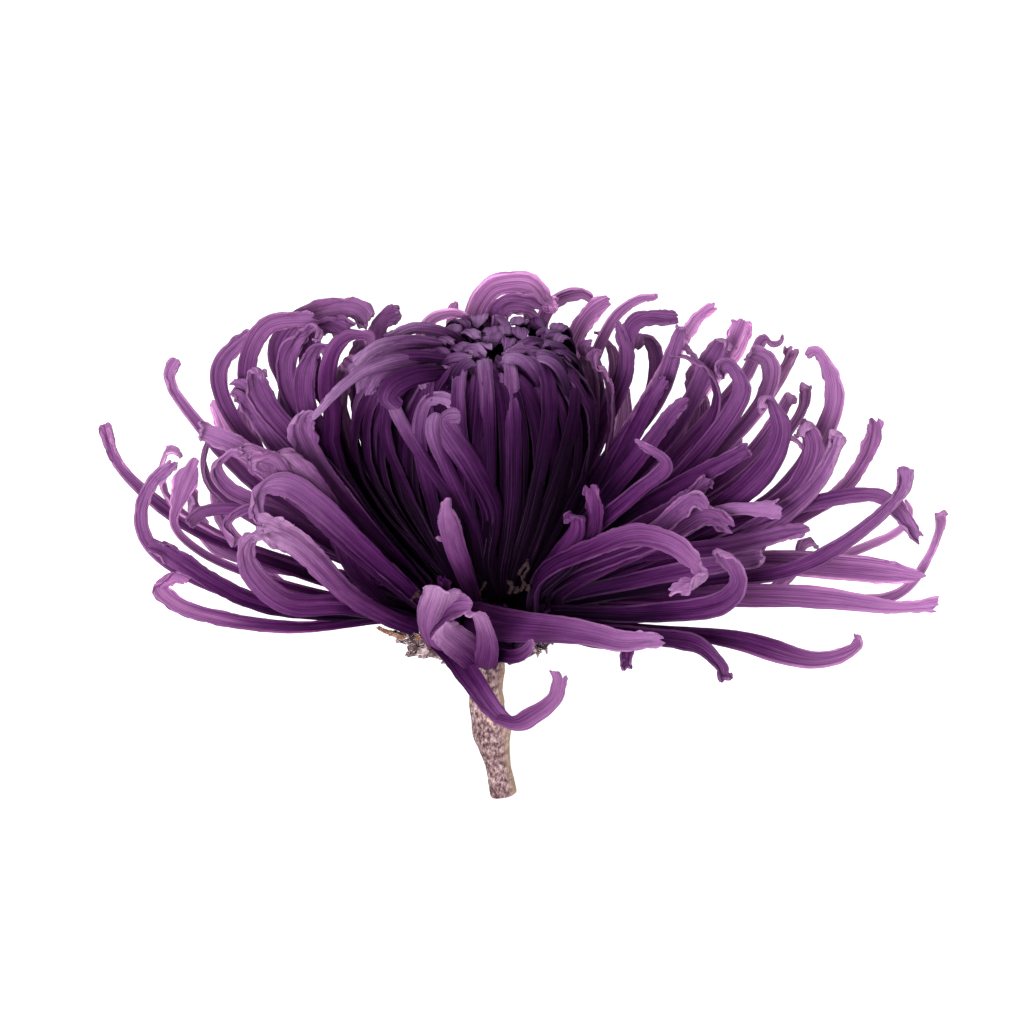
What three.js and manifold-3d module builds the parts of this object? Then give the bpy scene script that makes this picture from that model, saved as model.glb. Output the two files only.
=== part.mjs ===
// A spider chrysanthemum, cut with a short stem and lying on a flat surface: millimetres, +Z up.
// The flower is built on its own axis first. Its frame has x to the right, y to the back and z up the
// axis, with zero where the head meets its bracts. Each floret's line is then laid down with the
// flower, tipped back until the cut stem and the tips of the back florets meet the surface.
import * as THREE from "three";
import { mergeVertices } from "three/addons/utils/BufferGeometryUtils.js";
import Module from "manifold-3d";

const wasm = await Module();
wasm.setup();
const degrees = Math.PI / 180;

// How the flower lies
const tipBack = 27 * degrees; // from upright, about the x axis
const restFlat = 0.45; // depth of the small flat that the stem's lower edge rests on
const floorReach = 0.3; // height of a floret's middle line where it lies on the surface
const floorSoftness = 0.9;
const floorBlock = { side: 400, depth: 40 }; // cut away from whatever would reach below the surface
const nodeGap = 0.3;
const middleHeight = 24; // of the whole head, on its axis
const tiny = 1e-6;

// Stem: [across, height, radius] from the head down to the cut
const stemLine = [
  [-0.5, -3.4, 2.0],
  [-1.3, -8.1, 2.4],
  [-0.5, -13.7, 2.65],
  [0.4, -18.8, 1.75],
  [1.2, -23.3, 1.95],
];
const stemSides = 10;
const stemSteps = 9;

// Involucre: the cup under the head and its dry bracts
const cupProfile = [
  [0, -3.1],
  [2.6, -3.1],
  [4.6, -2.4],
  [6.8, -1.3],
  [8.2, -0.5],
  [8.0, 0],
  [0, 0],
];
const cupSides = 16;
const bracts = {
  count: 15,
  width: 4.2,
  thickness: 0.8,
  root: [5.5, -1.9], // radius and height
  reach: { most: 3.6, left: 9.4 }, // how far past its root a bract goes, longer where they spread
  rise: { most: 20, left: 5 }, // degrees
  curl: [8, 6, -10], // added to the rise from root to tip
  left: { azimuth: 186, sharpness: 3 },
  spread: { azimuth: 4, reach: 0.12, rise: 3, sway: 6 },
  mostSteps: 2,
};

// Cores that the florets grow from
const outerCore = [
  [0, 0.3],
  [8.6, 0.3],
  [10.4, 2.2],
  [9.8, 4.6],
  [8.2, 5.2],
  [0, 5.2],
];
const innerCore = [
  [0, 5.5],
  [5.6, 5.5],
  [5.8, 8.6],
  [4.6, 10.2],
  [0, 10.2],
];
const centreCore = [
  [0, 10.5],
  [2.4, 10.5],
  [3.0, 24],
  [3.8, 36],
  [5.2, 39.4],
  [4.8, 40.6],
  [0, 41.2],
];
const coreSides = 16;
const centreSides = 10;

// The dome of incurved florets: [height, radius], about an axis that leans to one side
const domeProfile = [
  [5, 4.2],
  [9, 5.6],
  [14, 9.4],
  [20, 13.2],
  [26, 16.2],
  [31, 17.4],
  [36, 17.1],
  [40, 14.8],
  [43, 11.2],
  [44.5, 7],
  [45.5, 0],
];
const domeLean = -3; // at its widest
const domeLeanSpan = [5, 57];
const domeSkin = 1.7; // clear space kept outside the dome for the outer florets
const domeSpan = [5, 48]; // heights between which the outer florets keep clear of it
const domeRoot = { radius: 4.4, height: 8.2, coreTop: 10.4 };
const domeSearch = { from: -20, to: 10, step: 0.25 }; // depths where a drawn point may meet the dome

// Florets: a flattened tube each
const floretSides = 4;
const floretFlatness = 0.45; // thickness to width
const slim = 0.86; // the drawn widths take in a floret's wavering edges, which the solid leaves out
const widthAlong = [[0, 0.5], [0.3, 0.85], [0.6, 1], [0.85, 1], [1, 0.55]]; // from root to tip
const thinnest = 0.95;
const thinnestTip = 0.7;
const thickExtra = 0.3; // how much less a floret thins than it narrows
const stepLength = 30; // a floret has one more ring of points for this much length
const stepTurn = 1.0; // and one more for this much turn, in radians
const fewestSteps = 4;
const mostSteps = 8;
const bendRoom = 1.5; // most width for the radius of a bend in it
const straightRadius = 1000;
const fineSteps = 64;
const grownSteps = 28;
const rootRing = { low: [9.0, 2.4], steep: [7.3, 4.2] }; // radius and height
const steepRise = 65 * degrees;
const drawnFrom = 20 * degrees; // how far above the flower's own plane the drawn lines are seen from

// Drawn florets: [width, depth of the tip behind the axis, line across and up as seen from the front]
const leftFlorets = [
  [2.5, 22, [-20, 7, -37, 13.2, -46.7, 18.2, -54.3, 25.3, -56.6, 31.0]],
  [2.6, 5, [-20, 4, -40, 7.5, -49.4, 13.5, -50.7, 18.2, -49.0, 22.5, -45.4, 25.7]],
  [5.2, -8, [-12, 3.5, -31, 8.2, -41.6, 12.4, -45.7, 16.4, -44.9, 20.6, -43.2, 26.0]],
  [3.1, -12, [-12, 4, -22, 3.7, -34.4, 5.6, -45.1, 11.6, -49.1, 14.2]],
  [2.2, 6, [-10, 6, -30, 16, -36, 18.5, -41.5, 18.4, -45.1, 16.1]],
  [2.4, 3, [-15, 3, -28.5, 1.8, -38, 2.8, -45.3, 4.9, -48.2, 7.5, -46, 8.7, -43.9, 7.8]],
  [2.5, -8, [-12, 6, -30, 18, -38, 21.7, -39.9, 24.8, -36.5, 26.7, -32.8, 25.8]],
  [3.0, -2, [-12, 8, -28, 21, -36.8, 27.7, -43.9, 30.3]],
  [2.3, 10, [-15, 9, -33, 21, -42.6, 31.1, -46.7, 37.5, -45.7, 40.5]],
  [3.2, 20, [-20, 14, -37, 28, -40.5, 35]],
  [3.9, -18, [-10, 5, -19, 13.4, -25.5, 19.6, -29.6, 22.2, -32.7, 21.8, -33.9, 19.0, -33.4, 16.2]],
  [3.3, -13, [-11.2, 1.9, -19.9, 9.8, -24.4, 20.4, -29.4, 25.9, -32.4, 25.0]],
  [4.2, -22, [-11, 2.5, -21, 5, -29.6, 5.4, -35.0, 10.6, -35.0, 14.2, -33.2, 16.4]],
  [4.3, -22, [-10.7, 1.5, -19.9, 5.9, -28.7, 14.2, -34.8, 16.6]],
  [2.0, -14, [-11, 5, -24, 14, -34, 19, -37.5, 17.5, -38.2, 16.3, -36.5, 13.5]],
  [2.4, 8, [-12, 9, -34.1, 27.3, -39.1, 35.1, -39.1, 39.6, -33.4, 44.9]],
  [3.5, 0, [-9, 5, -24, 20, -31.7, 29.2, -36.7, 36.5, -38.6, 36.3]],
  [3.4, 4, [-9, 5, -22, 20, -33, 31, -35.4, 38.6, -32.7, 44.8, -25.4, 46.5]],
  [3.6, -3, [-9, 6, -22, 22, -33, 34, -34.2, 38.5, -31.5, 40.1]],
  [3.2, 2, [-9, 6, -21, 22, -29.4, 36.3, -29.4, 41, -26, 44.6, -22.7, 43.9]],
  [2.8, -2, [-8, 6, -18, 22, -23.9, 36.3, -21.8, 42.7, -18, 43.4, -17.3, 41.5]],
  [3.6, 10, [-8, 7, -22, 26, -31, 41, -28, 45.8, -20, 47.4, -16.8, 43.4]],
  [3.0, 12, [-6, 8, -14, 28, -17.1, 43.5, -14.7, 46.2, -11.4, 44.8]],
  [3.8, -6, [-10, 7, -20.6, 19, -26.1, 26.1, -27.7, 31.1, -26.5, 33.2]],
  [3.6, 0, [-9, 6, -19, 20, -26.5, 32, -26.9, 38.5, -25, 41.5, -22, 40.5]],
  [3.4, 6, [-8, 7, -17, 24, -26.5, 40, -25.5, 44.6, -19, 44.4]],
  [3.4, -12, [-11.5, 7.3, -22.1, 15.3, -29, 22, -33, 24]],
  [2.8, -16, [-11, 5, -22, 14.5, -28.6, 21.5, -31.8, 25.6, -34.6, 25.4, -34.8, 23]],
  [2.6, -9, [-11, 6, -24, 17, -31, 24, -34.8, 27, -37.6, 25.2]],
];
const backFlorets = [
  [3.2, 25, [-3, 30, -3.6, 45.5, -0.8, 50.9, 4.6, 51.0, 7.4, 47.8]],
  [3.0, 20, [2, 30, 0.2, 46.2, 2.4, 48.2, 7, 46.8]],
  [2.8, 17, [-10, 35, -9.8, 45.3, -6.5, 46.8, -3.7, 46]],
  [1.8, 24, [-5, 35, -6.3, 47, -6, 48.8]],
];
const rightFlorets = [
  [2.5, 32, [5, 25, 7.4, 47.2, 12.4, 50, 14.7, 49.3]],
  [3.0, 20, [5, 20, 12.1, 44.6, 15.2, 48.4, 16.6, 49.1]],
  [2.0, 24, [6, 14, 14.2, 40.3, 17.8, 46.9, 21.8, 49.1, 24.2, 48.1]],
  [3.0, 14, [6, 12, 12, 25, 18.7, 38.6, 17.8, 45.7]],
  [2.6, 16, [8, 15, 18, 38, 20.2, 45.5, 26.6, 45.7]],
  [3.0, 8, [7, 9, 15.4, 24.4, 23.5, 35.3, 27, 44.6, 28.5, 44]],
  [2.2, 26, [10, 15, 24, 38, 29.2, 46.2, 32, 48.1]],
  [3.0, 12, [8, 10, 25.4, 29.6, 30.6, 39.6, 32.5, 43.6, 30.4, 44.1]],
  [3.5, 22, [15, 15, 28, 34, 34.4, 42.2, 36.5, 48.1]],
  [2.4, 15, [14, 14, 26, 32, 33, 40.5, 35.6, 46]],
  [2.6, 12, [12, 12, 30, 25, 38.9, 35.3, 39.1, 40.1, 34.6, 41.7]],
  [3.0, 4, [12, 10, 25, 22, 33.2, 31.5, 35.3, 36.3, 33.2, 39.6, 30.4, 37.5]],
  [4.0, -4, [10, 7, 30.1, 17.3, 38.9, 24.9, 40.8, 30.6, 38.4, 34.4, 35.1, 33.9]],
  [2.4, 20, [20, 20, 36, 38, 38.6, 43.1, 40.8, 39.6]],
  [3.0, -12, [8, 10, 19.7, 20.9, 24.4, 25.1, 21.6, 27.7, 20.2, 28.7]],
  [2.6, -12, [6, 6, 11, 11, 14, 16.5, 13.5, 22.2]],
  [3.0, -6, [8, 9, 20, 16, 27, 20, 31, 23.5]],
  [2.4, 22, [25, 20, 40, 36, 42.9, 41.7, 41.1, 39.1]],
  [3.3, 8, [12, 8, 40, 20, 47.5, 30.6, 48.5, 36.3, 45.9, 41, 44.4, 40.1]],
  [2.2, 12, [20, 14, 38, 26, 44, 33, 44.4, 38.2]],
  [2.2, 6, [18, 13, 36, 26, 42.1, 35.1, 43.2, 37.9]],
  [3.5, 0, [14, 8, 34, 16, 43.5, 22.5, 45.4, 28.2, 43, 31.3, 41.4, 30.6]],
  [3.6, -3, [14, 7, 36, 15, 45.4, 21.8, 48.7, 27.7, 50.4, 30.6]],
  [2.4, 8, [20, 8, 47.8, 19.9, 53, 26.1, 54.3, 30.6, 53.7, 31.9]],
  [2.8, -2, [10, 6, 29.3, 14.5, 44.7, 19.4, 55.3, 20.4, 59.8, 15.4, 61, 13.8]],
  [2.6, -8, [8, 4, 31, 8.5, 42.3, 10.1, 51.8, 15.3, 58.2, 21.7, 58.7, 25]],
  [1.7, 14, [20, 6, 42, 9.5, 53, 13.2, 58.2, 15.8, 59.8, 18.4, 58.9, 20.2]],
  [1.9, 10, [20, 5, 45, 5.5, 57.7, 6.5, 62, 11.5, 63.9, 17.7, 62, 19.1]],
  [4.4, 6, [12, 5, 34, 10.8, 50.6, 10.3, 61.7, 9.1]],
  [4.0, 0, [8, 5, 31.7, 6.5, 45.9, 6.1, 57.7, 4.6, 63.6, 4.4]],
  [3.7, 5, [13.5, 2.3, 34, 0.1, 46.3, -3.0, 52.6, -0.9, 52.9, 1.2]],
  [2.4, -8, [8, 1, 13.5, -0.1, 18.5, -0.8, 18.3, -3.6, 17.1, -3.2]],
  [2.9, -4, [10, 2, 23, 0.4, 29.6, -1, 32.5, -4.6, 30, -4.9]],
  [3.0, -6, [7, 7, 20, 12, 33, 13.5, 45, 16]],
  [3.0, -4, [7, 8, 18, 17, 30, 24, 38, 28]],
  [3.0, 0, [7, 8, 14, 18, 22, 28, 27, 35]],
  [3.0, -8, [8, 5, 20, 8.5, 30, 10.5, 40, 12]],
  [3.0, 4, [8, 9, 16, 22, 22, 34, 24, 38]],
];
const frontFlorets = [
  [4.2, -25, [6.4, 8.9, 13.5, 12.9, 20.6, 15.1, 26.1, 13.4, 29.4, 9.6, 27.7, 8.2, 24.9, 6.3]],
  [3.7, -18, [6.4, 3.5, 20.6, 3.9, 32.5, 5.4, 34.9, 8.4, 31.5, 13.2, 30.4, 12.5]],
  [3.0, -12, [8, 8, 22.5, 15.5, 28.5, 19.8, 30.1, 18.4]],
  [3.5, -10, [8, 7, 25, 15.5, 30.1, 17.9, 34.4, 15.8]],
  [3.8, -8, [9, 7, 25, 15, 33, 18.5, 41, 18.5]],
  [4.8, -23, [-4.2, 3.0, 1, 2.6, 7, 1.7, 12, 0.8, 18, 0.3, 24.3, 1]],
  [6.6, -28, [-7.4, -1.0, -9.2, 1.0, -9.3, 3.2, -8.2, 6.0, -7.4, 9.3]],
  [5.6, -31, [-1.8, -3.0, -3.2, -1.9, -5.2, -0.2, -8.4, 1.9]],
  [3.5, -33, [-2.1, -3.6, -1.0, -1.2, -1.2, 1.4, -2.4, 3.8, -4.2, 4.2]],
  [2.2, -26, [-0.6, -1.6, 1.5, -2.2, 3.4, -2.1, 4.7, -1.2, 5.3, 0.1]],
  [3.9, -22, [
    -9.4, 2.6, -8.6, 0.8, -6.2, -1.6, -3.2, -6.0, 0.4, -10.6,
    2.4, -12.2, 4.0, -11.6, 6.4, -9.9, 8.3, -7.9, 9.3, -4.2,
  ]],
  [3.9, -19, [-2.4, 3.6, -3.8, 9, -5.4, 14.4, -6.4, 18.4, -7.4, 21.0]],
  [4.4, -27.5, [-8.8, 2.2, -7.6, 3.6, -5.9, 4.9, -3.6, 5.5]],
  [2.6, -14, [6, 8, 8.8, 12, 11.6, 15.6, 11.4, 18.2, 9.4, 19.4]],
];

// Drawn florets of the dome's front: [width, line across and up as seen from the front]
const domeFlorets = [
  [3.0, [-7, 9, -14, 18, -18, 26, -17.2, 34.2, -12.5, 38.5]],
  [2.5, [-3, 6, -6.5, 20.4, -9.6, 24.9, -13.4, 31.1, -15, 34.4]],
  [2.5, [-2, 10.3, -3.2, 16.7, -6.3, 23.3, -9, 29.9, -8.9, 32.3]],
  [3.5, [-1.1, 11, -0.5, 18.8, -3.4, 24.4, -6.7, 29.7, -4.9, 31.8]],
  [3.0, [-5, 9, -9, 20, -11, 31.1, -7.9, 34.6, -5.1, 33.4]],
  [3.0, [-6, 9, -12, 20, -15.8, 30, -14.6, 35.8, -11.5, 38.2, -8.9, 36.3]],
  [2.2, [-4, 9, -8, 25, -9.6, 35, -7.9, 38.9, -6, 39.1]],
  [2.4, [-2, 9, -4, 22, -5.2, 33, -5.1, 37.7, -4.1, 38.4]],
  [2.2, [-1, 9, -1, 22, -1.1, 34.2, -1.8, 39.4]],
  [2.4, [1, 9, 2.5, 18.8, 2.6, 30, 2.7, 37.2, 1.8, 40.2]],
  [2.8, [2.5, 9, 6.3, 23.5, 7.7, 33, 6.9, 38.6, 4.6, 40.9, 1.6, 40.7]],
  [3.0, [4, 9, 9.1, 23.5, 11.6, 33, 10.8, 39.2, 8.2, 41.9, 4.6, 42.1, 1.8, 41.4]],
  [3.0, [5, 9, 12.9, 23.5, 14.9, 34.2, 13.4, 39.8, 10.6, 43.0, 7.4, 43.5]],
];

// Florets placed by rule. The rise is the line's slope in degrees at even steps from root to tip,
// and past 90 it turns in over the flower. The sag, in degrees, grows from the back to the sides.
// Loose rings are spread at random. The last two florets are set to reach the surface.
const outerRings = [
  {
    count: 12, from: 35, to: 145, loose: 1, sag: 14,
    root: [8.8, 2.6], length: 55, width: 2.9, rise: [6, -4, -7, 6, 125],
  },
  {
    count: 13, from: 18, to: 162, loose: 1, sag: 4,
    root: [8.4, 3.2], length: 53, width: 2.9, rise: [20, 15, 15, 32, 160],
  },
  {
    count: 14, from: 14, to: 166, loose: 1, sag: 0,
    root: [8.0, 3.6], length: 49, width: 3.0, rise: [36, 38, 44, 68, 185],
  },
  {
    count: 11, from: 22, to: 158, loose: 1, sag: 0,
    root: [7.4, 4.2], length: 45, width: 3.0, rise: [60, 60, 68, 96, 205],
  },
  {
    count: 2, from: 50, to: 130, loose: 0, sag: 0,
    root: [8.6, 2.2], length: 55, width: 3.0, rise: [-2, -18, -20, -2, 90],
  },
];
const ruleSpread = { azimuth: 3, length: 0.06, rise: 7, sway: 3 }; // random spread of a rule's values

// The dome's rings follow its profile up to a fold, and turn in there towards the hole at its top.
const domeRings = [
  { count: 14, from: -8, to: 188, inset: 1.0, width: 2.8, low: 8.5 },
  { count: 15, from: 4, to: 340, inset: 0.8, width: 2.5, low: 9 },
];
const domeGrowth = {
  rootRadius: 4.2,
  heights: [13, 19, 26, 32, 37, 40.5],
  swayLength: 30,
  fold: 42,
  foldSpread: 1.2,
  inward: 4,
  drop: 1.2,
  dropSpread: 0.6,
};
const domeHole = { x: -1.8, y: 1.2, radius: 8.2 };

// The unopened florets in the hole
const nubs = {
  count: 18,
  width: 2.5,
  thickness: 1.9,
  length: 6.5,
  goldenAngle: 137.5,
  spread: 6.1,
  footShare: 0.6, // a foot's distance from the middle to its head's
  top: 43.6,
  slope: 0.12, // they stand higher to the back
  fall: 0.01,
  topSpread: 0.3,
  mostSteps: 2,
};

// Seeded random numbers: each call gives one from -spread to spread. A node has its own start.
const seed = 20420;
const drawFactor = 16807;
const drawLimit = 2147483647;
function startDraws(start) {
  let state = start;
  return (spread) => {
    state = (state * drawFactor) % drawLimit;
    return ((state / drawLimit) * 2 - 1) * spread;
  };
}

// A value read off a list of [key, value] pairs by straight lines between them.
function readOff(pairs, key) {
  if (key <= pairs[0][0]) return pairs[0][1];
  for (let i = 1; i < pairs.length; i++)
    if (key <= pairs[i][0]) {
      const share = (key - pairs[i - 1][0]) / (pairs[i][0] - pairs[i - 1][0]);
      return THREE.MathUtils.lerp(pairs[i - 1][1], pairs[i][1], share);
    }
  return pairs.at(-1)[1];
}

// The dome's axis at a height, and its radius there.
function domeAxis(z) {
  const share = THREE.MathUtils.clamp(
    (z - domeLeanSpan[0]) / (domeLeanSpan[1] - domeLeanSpan[0]), 0, 1);
  return domeLean * Math.sin(share * Math.PI);
}
const domeRadius = (z) => readOff(domeProfile, z);

// A point of the front view at a given depth, in the flower's frame.
const fromFront = (across, up, depth) =>
  new THREE.Vector3(across, depth, (up - depth * Math.sin(drawnFrom)) / Math.cos(drawnFrom));

// Laying the flower down
const stemEnd = stemLine.at(-1);
const lift =
  stemEnd[2] * Math.sin(tipBack) - stemEnd[1] * Math.cos(tipBack) - restFlat;
const laid = (p) =>
  new THREE.Vector3(
    p.x,
    p.y * Math.cos(tipBack) + p.z * Math.sin(tipBack),
    p.z * Math.cos(tipBack) - p.y * Math.sin(tipBack) + lift,
  );

// Lines: smooth through their points, bent clear of the dome and along the surface, then laid down
function smoothLine(points) {
  return new THREE.CatmullRomCurve3(points, false, "centripetal").getPoints(fineSteps);
}
function outsideDome(p, width) {
  const axis = domeAxis(p.z);
  const reach = Math.hypot(p.x - axis, p.y);
  const beside = p.z > domeSpan[0] && p.z < domeSpan[1];
  const least = beside ? domeRadius(p.z) + domeSkin + width / 2 : 0;
  if (reach < least) {
    p.x = axis + ((p.x - axis) * least) / reach;
    p.y = (p.y * least) / reach;
  }
  return p;
}
function insideDome(p, width) {
  const axis = domeAxis(p.z);
  const reach = Math.hypot(p.x - axis, p.y);
  const most = domeRadius(p.z) + domeSkin - nodeGap - width / 2;
  if (reach > most) {
    p.x = axis + ((p.x - axis) * most) / reach;
    p.y = (p.y * most) / reach;
  }
  return p;
}
function alongFloor(p) {
  const above = p.z - floorReach;
  p.z = floorReach + (above + Math.hypot(above, floorSoftness)) / 2;
  return p;
}

// A drawn outer floret, from its root on the ring to its tip.
function drawnOuterLine([width, tipDepth, flat]) {
  const drawn = [];
  for (let i = 0; i < flat.length; i += 2) drawn.push([flat[i], flat[i + 1]]);
  const meanAcross = drawn.reduce((sum, d) => sum + d[0], 0) / drawn.length;
  const azimuth = Math.atan2(tipDepth, meanAcross);
  const middle = drawn[Math.floor(drawn.length / 2)];
  const middlePoint = fromFront(middle[0], middle[1], tipDepth / 2);
  const rise = Math.atan2(middlePoint.z - rootRing.low[1], Math.hypot(middlePoint.x, middlePoint.y));
  const steepness = THREE.MathUtils.clamp(rise / steepRise, 0, 1);
  const rootRadius = THREE.MathUtils.lerp(rootRing.low[0], rootRing.steep[0], steepness);
  const root = new THREE.Vector3(
    rootRadius * Math.cos(azimuth),
    rootRadius * Math.sin(azimuth),
    THREE.MathUtils.lerp(rootRing.low[1], rootRing.steep[1], steepness),
  );
  const rootUp = root.z * Math.cos(drawnFrom) + root.y * Math.sin(drawnFrom);
  let reached = 0;
  let last = [root.x, rootUp];
  const lengths = drawn.map((d) => {
    reached += Math.hypot(d[0] - last[0], d[1] - last[1]);
    last = d;
    return reached;
  });
  const points = drawn.map((d, i) =>
    fromFront(d[0], d[1], THREE.MathUtils.lerp(root.y, tipDepth, lengths[i] / reached)));
  return smoothLine([root, ...points]).map((p) => alongFloor(laid(outsideDome(p, width))));
}

// A drawn floret of the dome, laid on the dome's skin where the front view meets it.
function drawnDomeLine([width, flat]) {
  const points = [];
  for (let i = 0; i < flat.length; i += 2) {
    let best = null;
    for (let depth = domeSearch.from; depth <= domeSearch.to; depth += domeSearch.step) {
      const p = fromFront(flat[i], flat[i + 1], depth);
      const outside = Math.hypot(p.x - domeAxis(p.z), p.y) - domeRadius(p.z);
      if (!best || outside < best.outside - tiny) best = { p, outside };
      if (outside <= 0) break;
    }
    points.push(best.p);
  }
  const azimuth = Math.atan2(points[0].y, points[0].x - domeAxis(points[0].z));
  const root = new THREE.Vector3(
    domeRoot.radius * Math.cos(azimuth), domeRoot.radius * Math.sin(azimuth), domeRoot.height);
  return smoothLine([root, ...points.filter((p) => p.z > domeRoot.coreTop)])
    .map((p) => laid(insideDome(p, width)));
}

// A floret that grows from a root at an azimuth, its slope read off the rise along its length.
function grownLine(azimuth, root, length, rise, sway) {
  const stops = rise.map((value, i) => [i / (rise.length - 1), value]);
  const points = [];
  let radius = root[0];
  let z = root[1];
  let turn = 0;
  for (let i = 0; i <= grownSteps; i++) {
    const angle = azimuth + turn;
    points.push(new THREE.Vector3(radius * Math.cos(angle), radius * Math.sin(angle), z));
    const slope = readOff(stops, (i + 0.5) / grownSteps) * degrees;
    radius += (length / grownSteps) * Math.cos(slope);
    z += (length / grownSteps) * Math.sin(slope);
    turn += (sway * degrees) / grownSteps;
  }
  return points;
}
function ringAzimuths(ring) {
  const list = [];
  for (let i = 0; i < ring.count; i++)
    list.push(THREE.MathUtils.lerp(ring.from, ring.to, i / (ring.count - 1)));
  return list;
}
function outerRingLines(ring, around) {
  return ringAzimuths(ring).map((degreesRound) => {
    const azimuth = (degreesRound + ring.loose * around(ruleSpread.azimuth)) * degrees;
    const length = ring.length * (1 + ring.loose * around(ruleSpread.length));
    const shift = ring.loose * around(ruleSpread.rise) - ring.sag * (1 - Math.sin(azimuth));
    const rise = ring.rise.map((value, i) => value + (i === 0 ? 0 : shift));
    const sway = ring.loose * around(ruleSpread.sway);
    return grownLine(azimuth, ring.root, length, rise, sway)
      .map((p) => alongFloor(laid(outsideDome(p, ring.width))));
  });
}
function domeRingLines(ring, around) {
  const { rootRadius, heights } = domeGrowth;
  return ringAzimuths(ring).map((degreesRound) => {
    const azimuth = (degreesRound + around(ruleSpread.azimuth)) * degrees;
    const sway = around(ruleSpread.sway) * degrees * 2;
    const fold = domeGrowth.fold + around(domeGrowth.foldSpread);
    const points = [new THREE.Vector3(
      rootRadius * Math.cos(azimuth), rootRadius * Math.sin(azimuth), ring.low)];
    for (const z of [...heights, fold]) {
      const angle = azimuth + (sway * (z - heights[0])) / domeGrowth.swayLength;
      const radius = domeRadius(z) * ring.inset;
      points.push(new THREE.Vector3(
        domeAxis(z) + radius * Math.cos(angle), radius * Math.sin(angle), z));
    }
    const bend = points.at(-1);
    const toHole = new THREE.Vector2(domeHole.x - bend.x, domeHole.y - bend.y);
    toHole.setLength(Math.min(domeGrowth.inward, toHole.length() - domeHole.radius));
    const drop = domeGrowth.drop - around(domeGrowth.dropSpread);
    points.push(new THREE.Vector3(bend.x + toHole.x, bend.y + toHole.y, fold - drop));
    return smoothLine(points).map((p) => laid(insideDome(p, ring.width)));
  });
}

// The direction that the flat side of a floret faces: forward for a drawn one, outward for the rest
const frontward = laid(fromFront(0, 0, -1)).sub(laid(fromFront(0, 0, 0))).normalize();
const flowerMiddle = laid(new THREE.Vector3(0, 0, middleHeight));
const outward = (p) => p.clone().sub(flowerMiddle).normalize();

// Frames along a line that turn as little as they can, all turned by the one angle that lays the
// flat side best.
const nearlyUpright = 0.1;
function framesAlong(line, facing) {
  const tangents = line.map((p, i) =>
    line[Math.min(i + 1, line.length - 1)].clone().sub(line[Math.max(i - 1, 0)]).normalize());
  const sides = [];
  let side = new THREE.Vector3(0, 0, 1).cross(tangents[0]);
  if (side.length() < nearlyUpright) side = new THREE.Vector3(1, 0, 0);
  for (const t of tangents) {
    side = side.clone().addScaledVector(t, -side.dot(t)).normalize();
    sides.push(side);
  }
  let cosines = 0;
  let sines = 0;
  tangents.forEach((t, i) => {
    const wanted = t.clone().cross(facing(line[i]));
    const x = wanted.dot(sides[i]);
    const y = wanted.dot(sides[i].clone().cross(t));
    const angle = 2 * Math.atan2(y, x);
    cosines += Math.cos(angle) * wanted.lengthSq();
    sines += Math.sin(angle) * wanted.lengthSq();
  });
  const turn = Math.atan2(sines, cosines) / 2;
  return tangents.map((t, i) => {
    const across = sides[i].clone().multiplyScalar(Math.cos(turn))
      .addScaledVector(sides[i].clone().cross(t), Math.sin(turn)).normalize();
    return { t, across, up: across.clone().cross(t) };
  });
}

// Places along a line where a floret has its rings of points: closer together where it turns.
function stations(line, frames, most) {
  const cost = [0];
  let turned = 0;
  let length = 0;
  for (let i = 1; i < line.length; i++) {
    turned += frames[i - 1].t.angleTo(frames[i].t);
    length += line[i].distanceTo(line[i - 1]);
    cost.push(length / stepLength + turned / stepTurn);
  }
  const steps = THREE.MathUtils.clamp(
    Math.round(cost.at(-1)), Math.min(fewestSteps, most), most);
  const places = [];
  for (let k = 0; k <= steps; k++) {
    const wanted = (cost.at(-1) * k) / steps;
    places.push(cost.findIndex((c) => c >= wanted - tiny));
  }
  return places;
}

const mergeWithin = 1e-4;
function solidOf(geometry) {
  geometry.deleteAttribute("normal");
  geometry.deleteAttribute("uv");
  const merged = mergeVertices(geometry, mergeWithin);
  return new wasm.Manifold(new wasm.Mesh({
    numProp: 3,
    vertProperties: merged.attributes.position.array,
    triVerts: new Uint32Array(merged.index.array),
  }));
}

// A flattened tube along a line. Its width and thickness are held back where the line turns sharply.
function roomInBend(radius, inward, direction) {
  return (bendRoom * radius) / Math.max(Math.abs(inward.dot(direction)), tiny);
}
function strap(line, facing, width, thickness, most = mostSteps) {
  const frames = framesAlong(line, facing);
  const places = stations(line, frames, most);
  const steps = places.length - 1;
  const geometry = new THREE.CylinderGeometry(1, 1, 1, floretSides, steps);
  const position = geometry.attributes.position;
  for (let i = 0; i < position.count; i++) {
    const k = Math.round((position.getY(i) + 0.5) * steps);
    const place = places[k];
    const f = frames[place];
    const before = places[Math.max(k - 1, 0)];
    const after = places[Math.min(k + 1, steps)];
    const bend = frames[before].t.angleTo(frames[after].t);
    const run = line[before].distanceTo(line[after]);
    const radius = Math.min(run / Math.max(bend, tiny), straightRadius);
    const inward = frames[after].t.clone().sub(frames[before].t).normalize();
    const share = readOff(widthAlong, place / (line.length - 1));
    const wide = Math.min(width * share, roomInBend(radius, inward, f.across));
    const thick = Math.min(
      Math.max(thickness * Math.min(1, share + thickExtra), thinnestTip),
      roomInBend(radius, inward, f.up));
    const p = line[place].clone()
      .addScaledVector(f.across, (position.getX(i) * wide) / 2)
      .addScaledVector(f.up, (position.getZ(i) * thick) / 2);
    position.setXYZ(i, p.x, p.y, p.z);
  }
  return solidOf(geometry);
}
const floret = (line, facing, width) =>
  strap(line, facing, width * slim, Math.max(thinnest, width * slim * floretFlatness));

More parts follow.
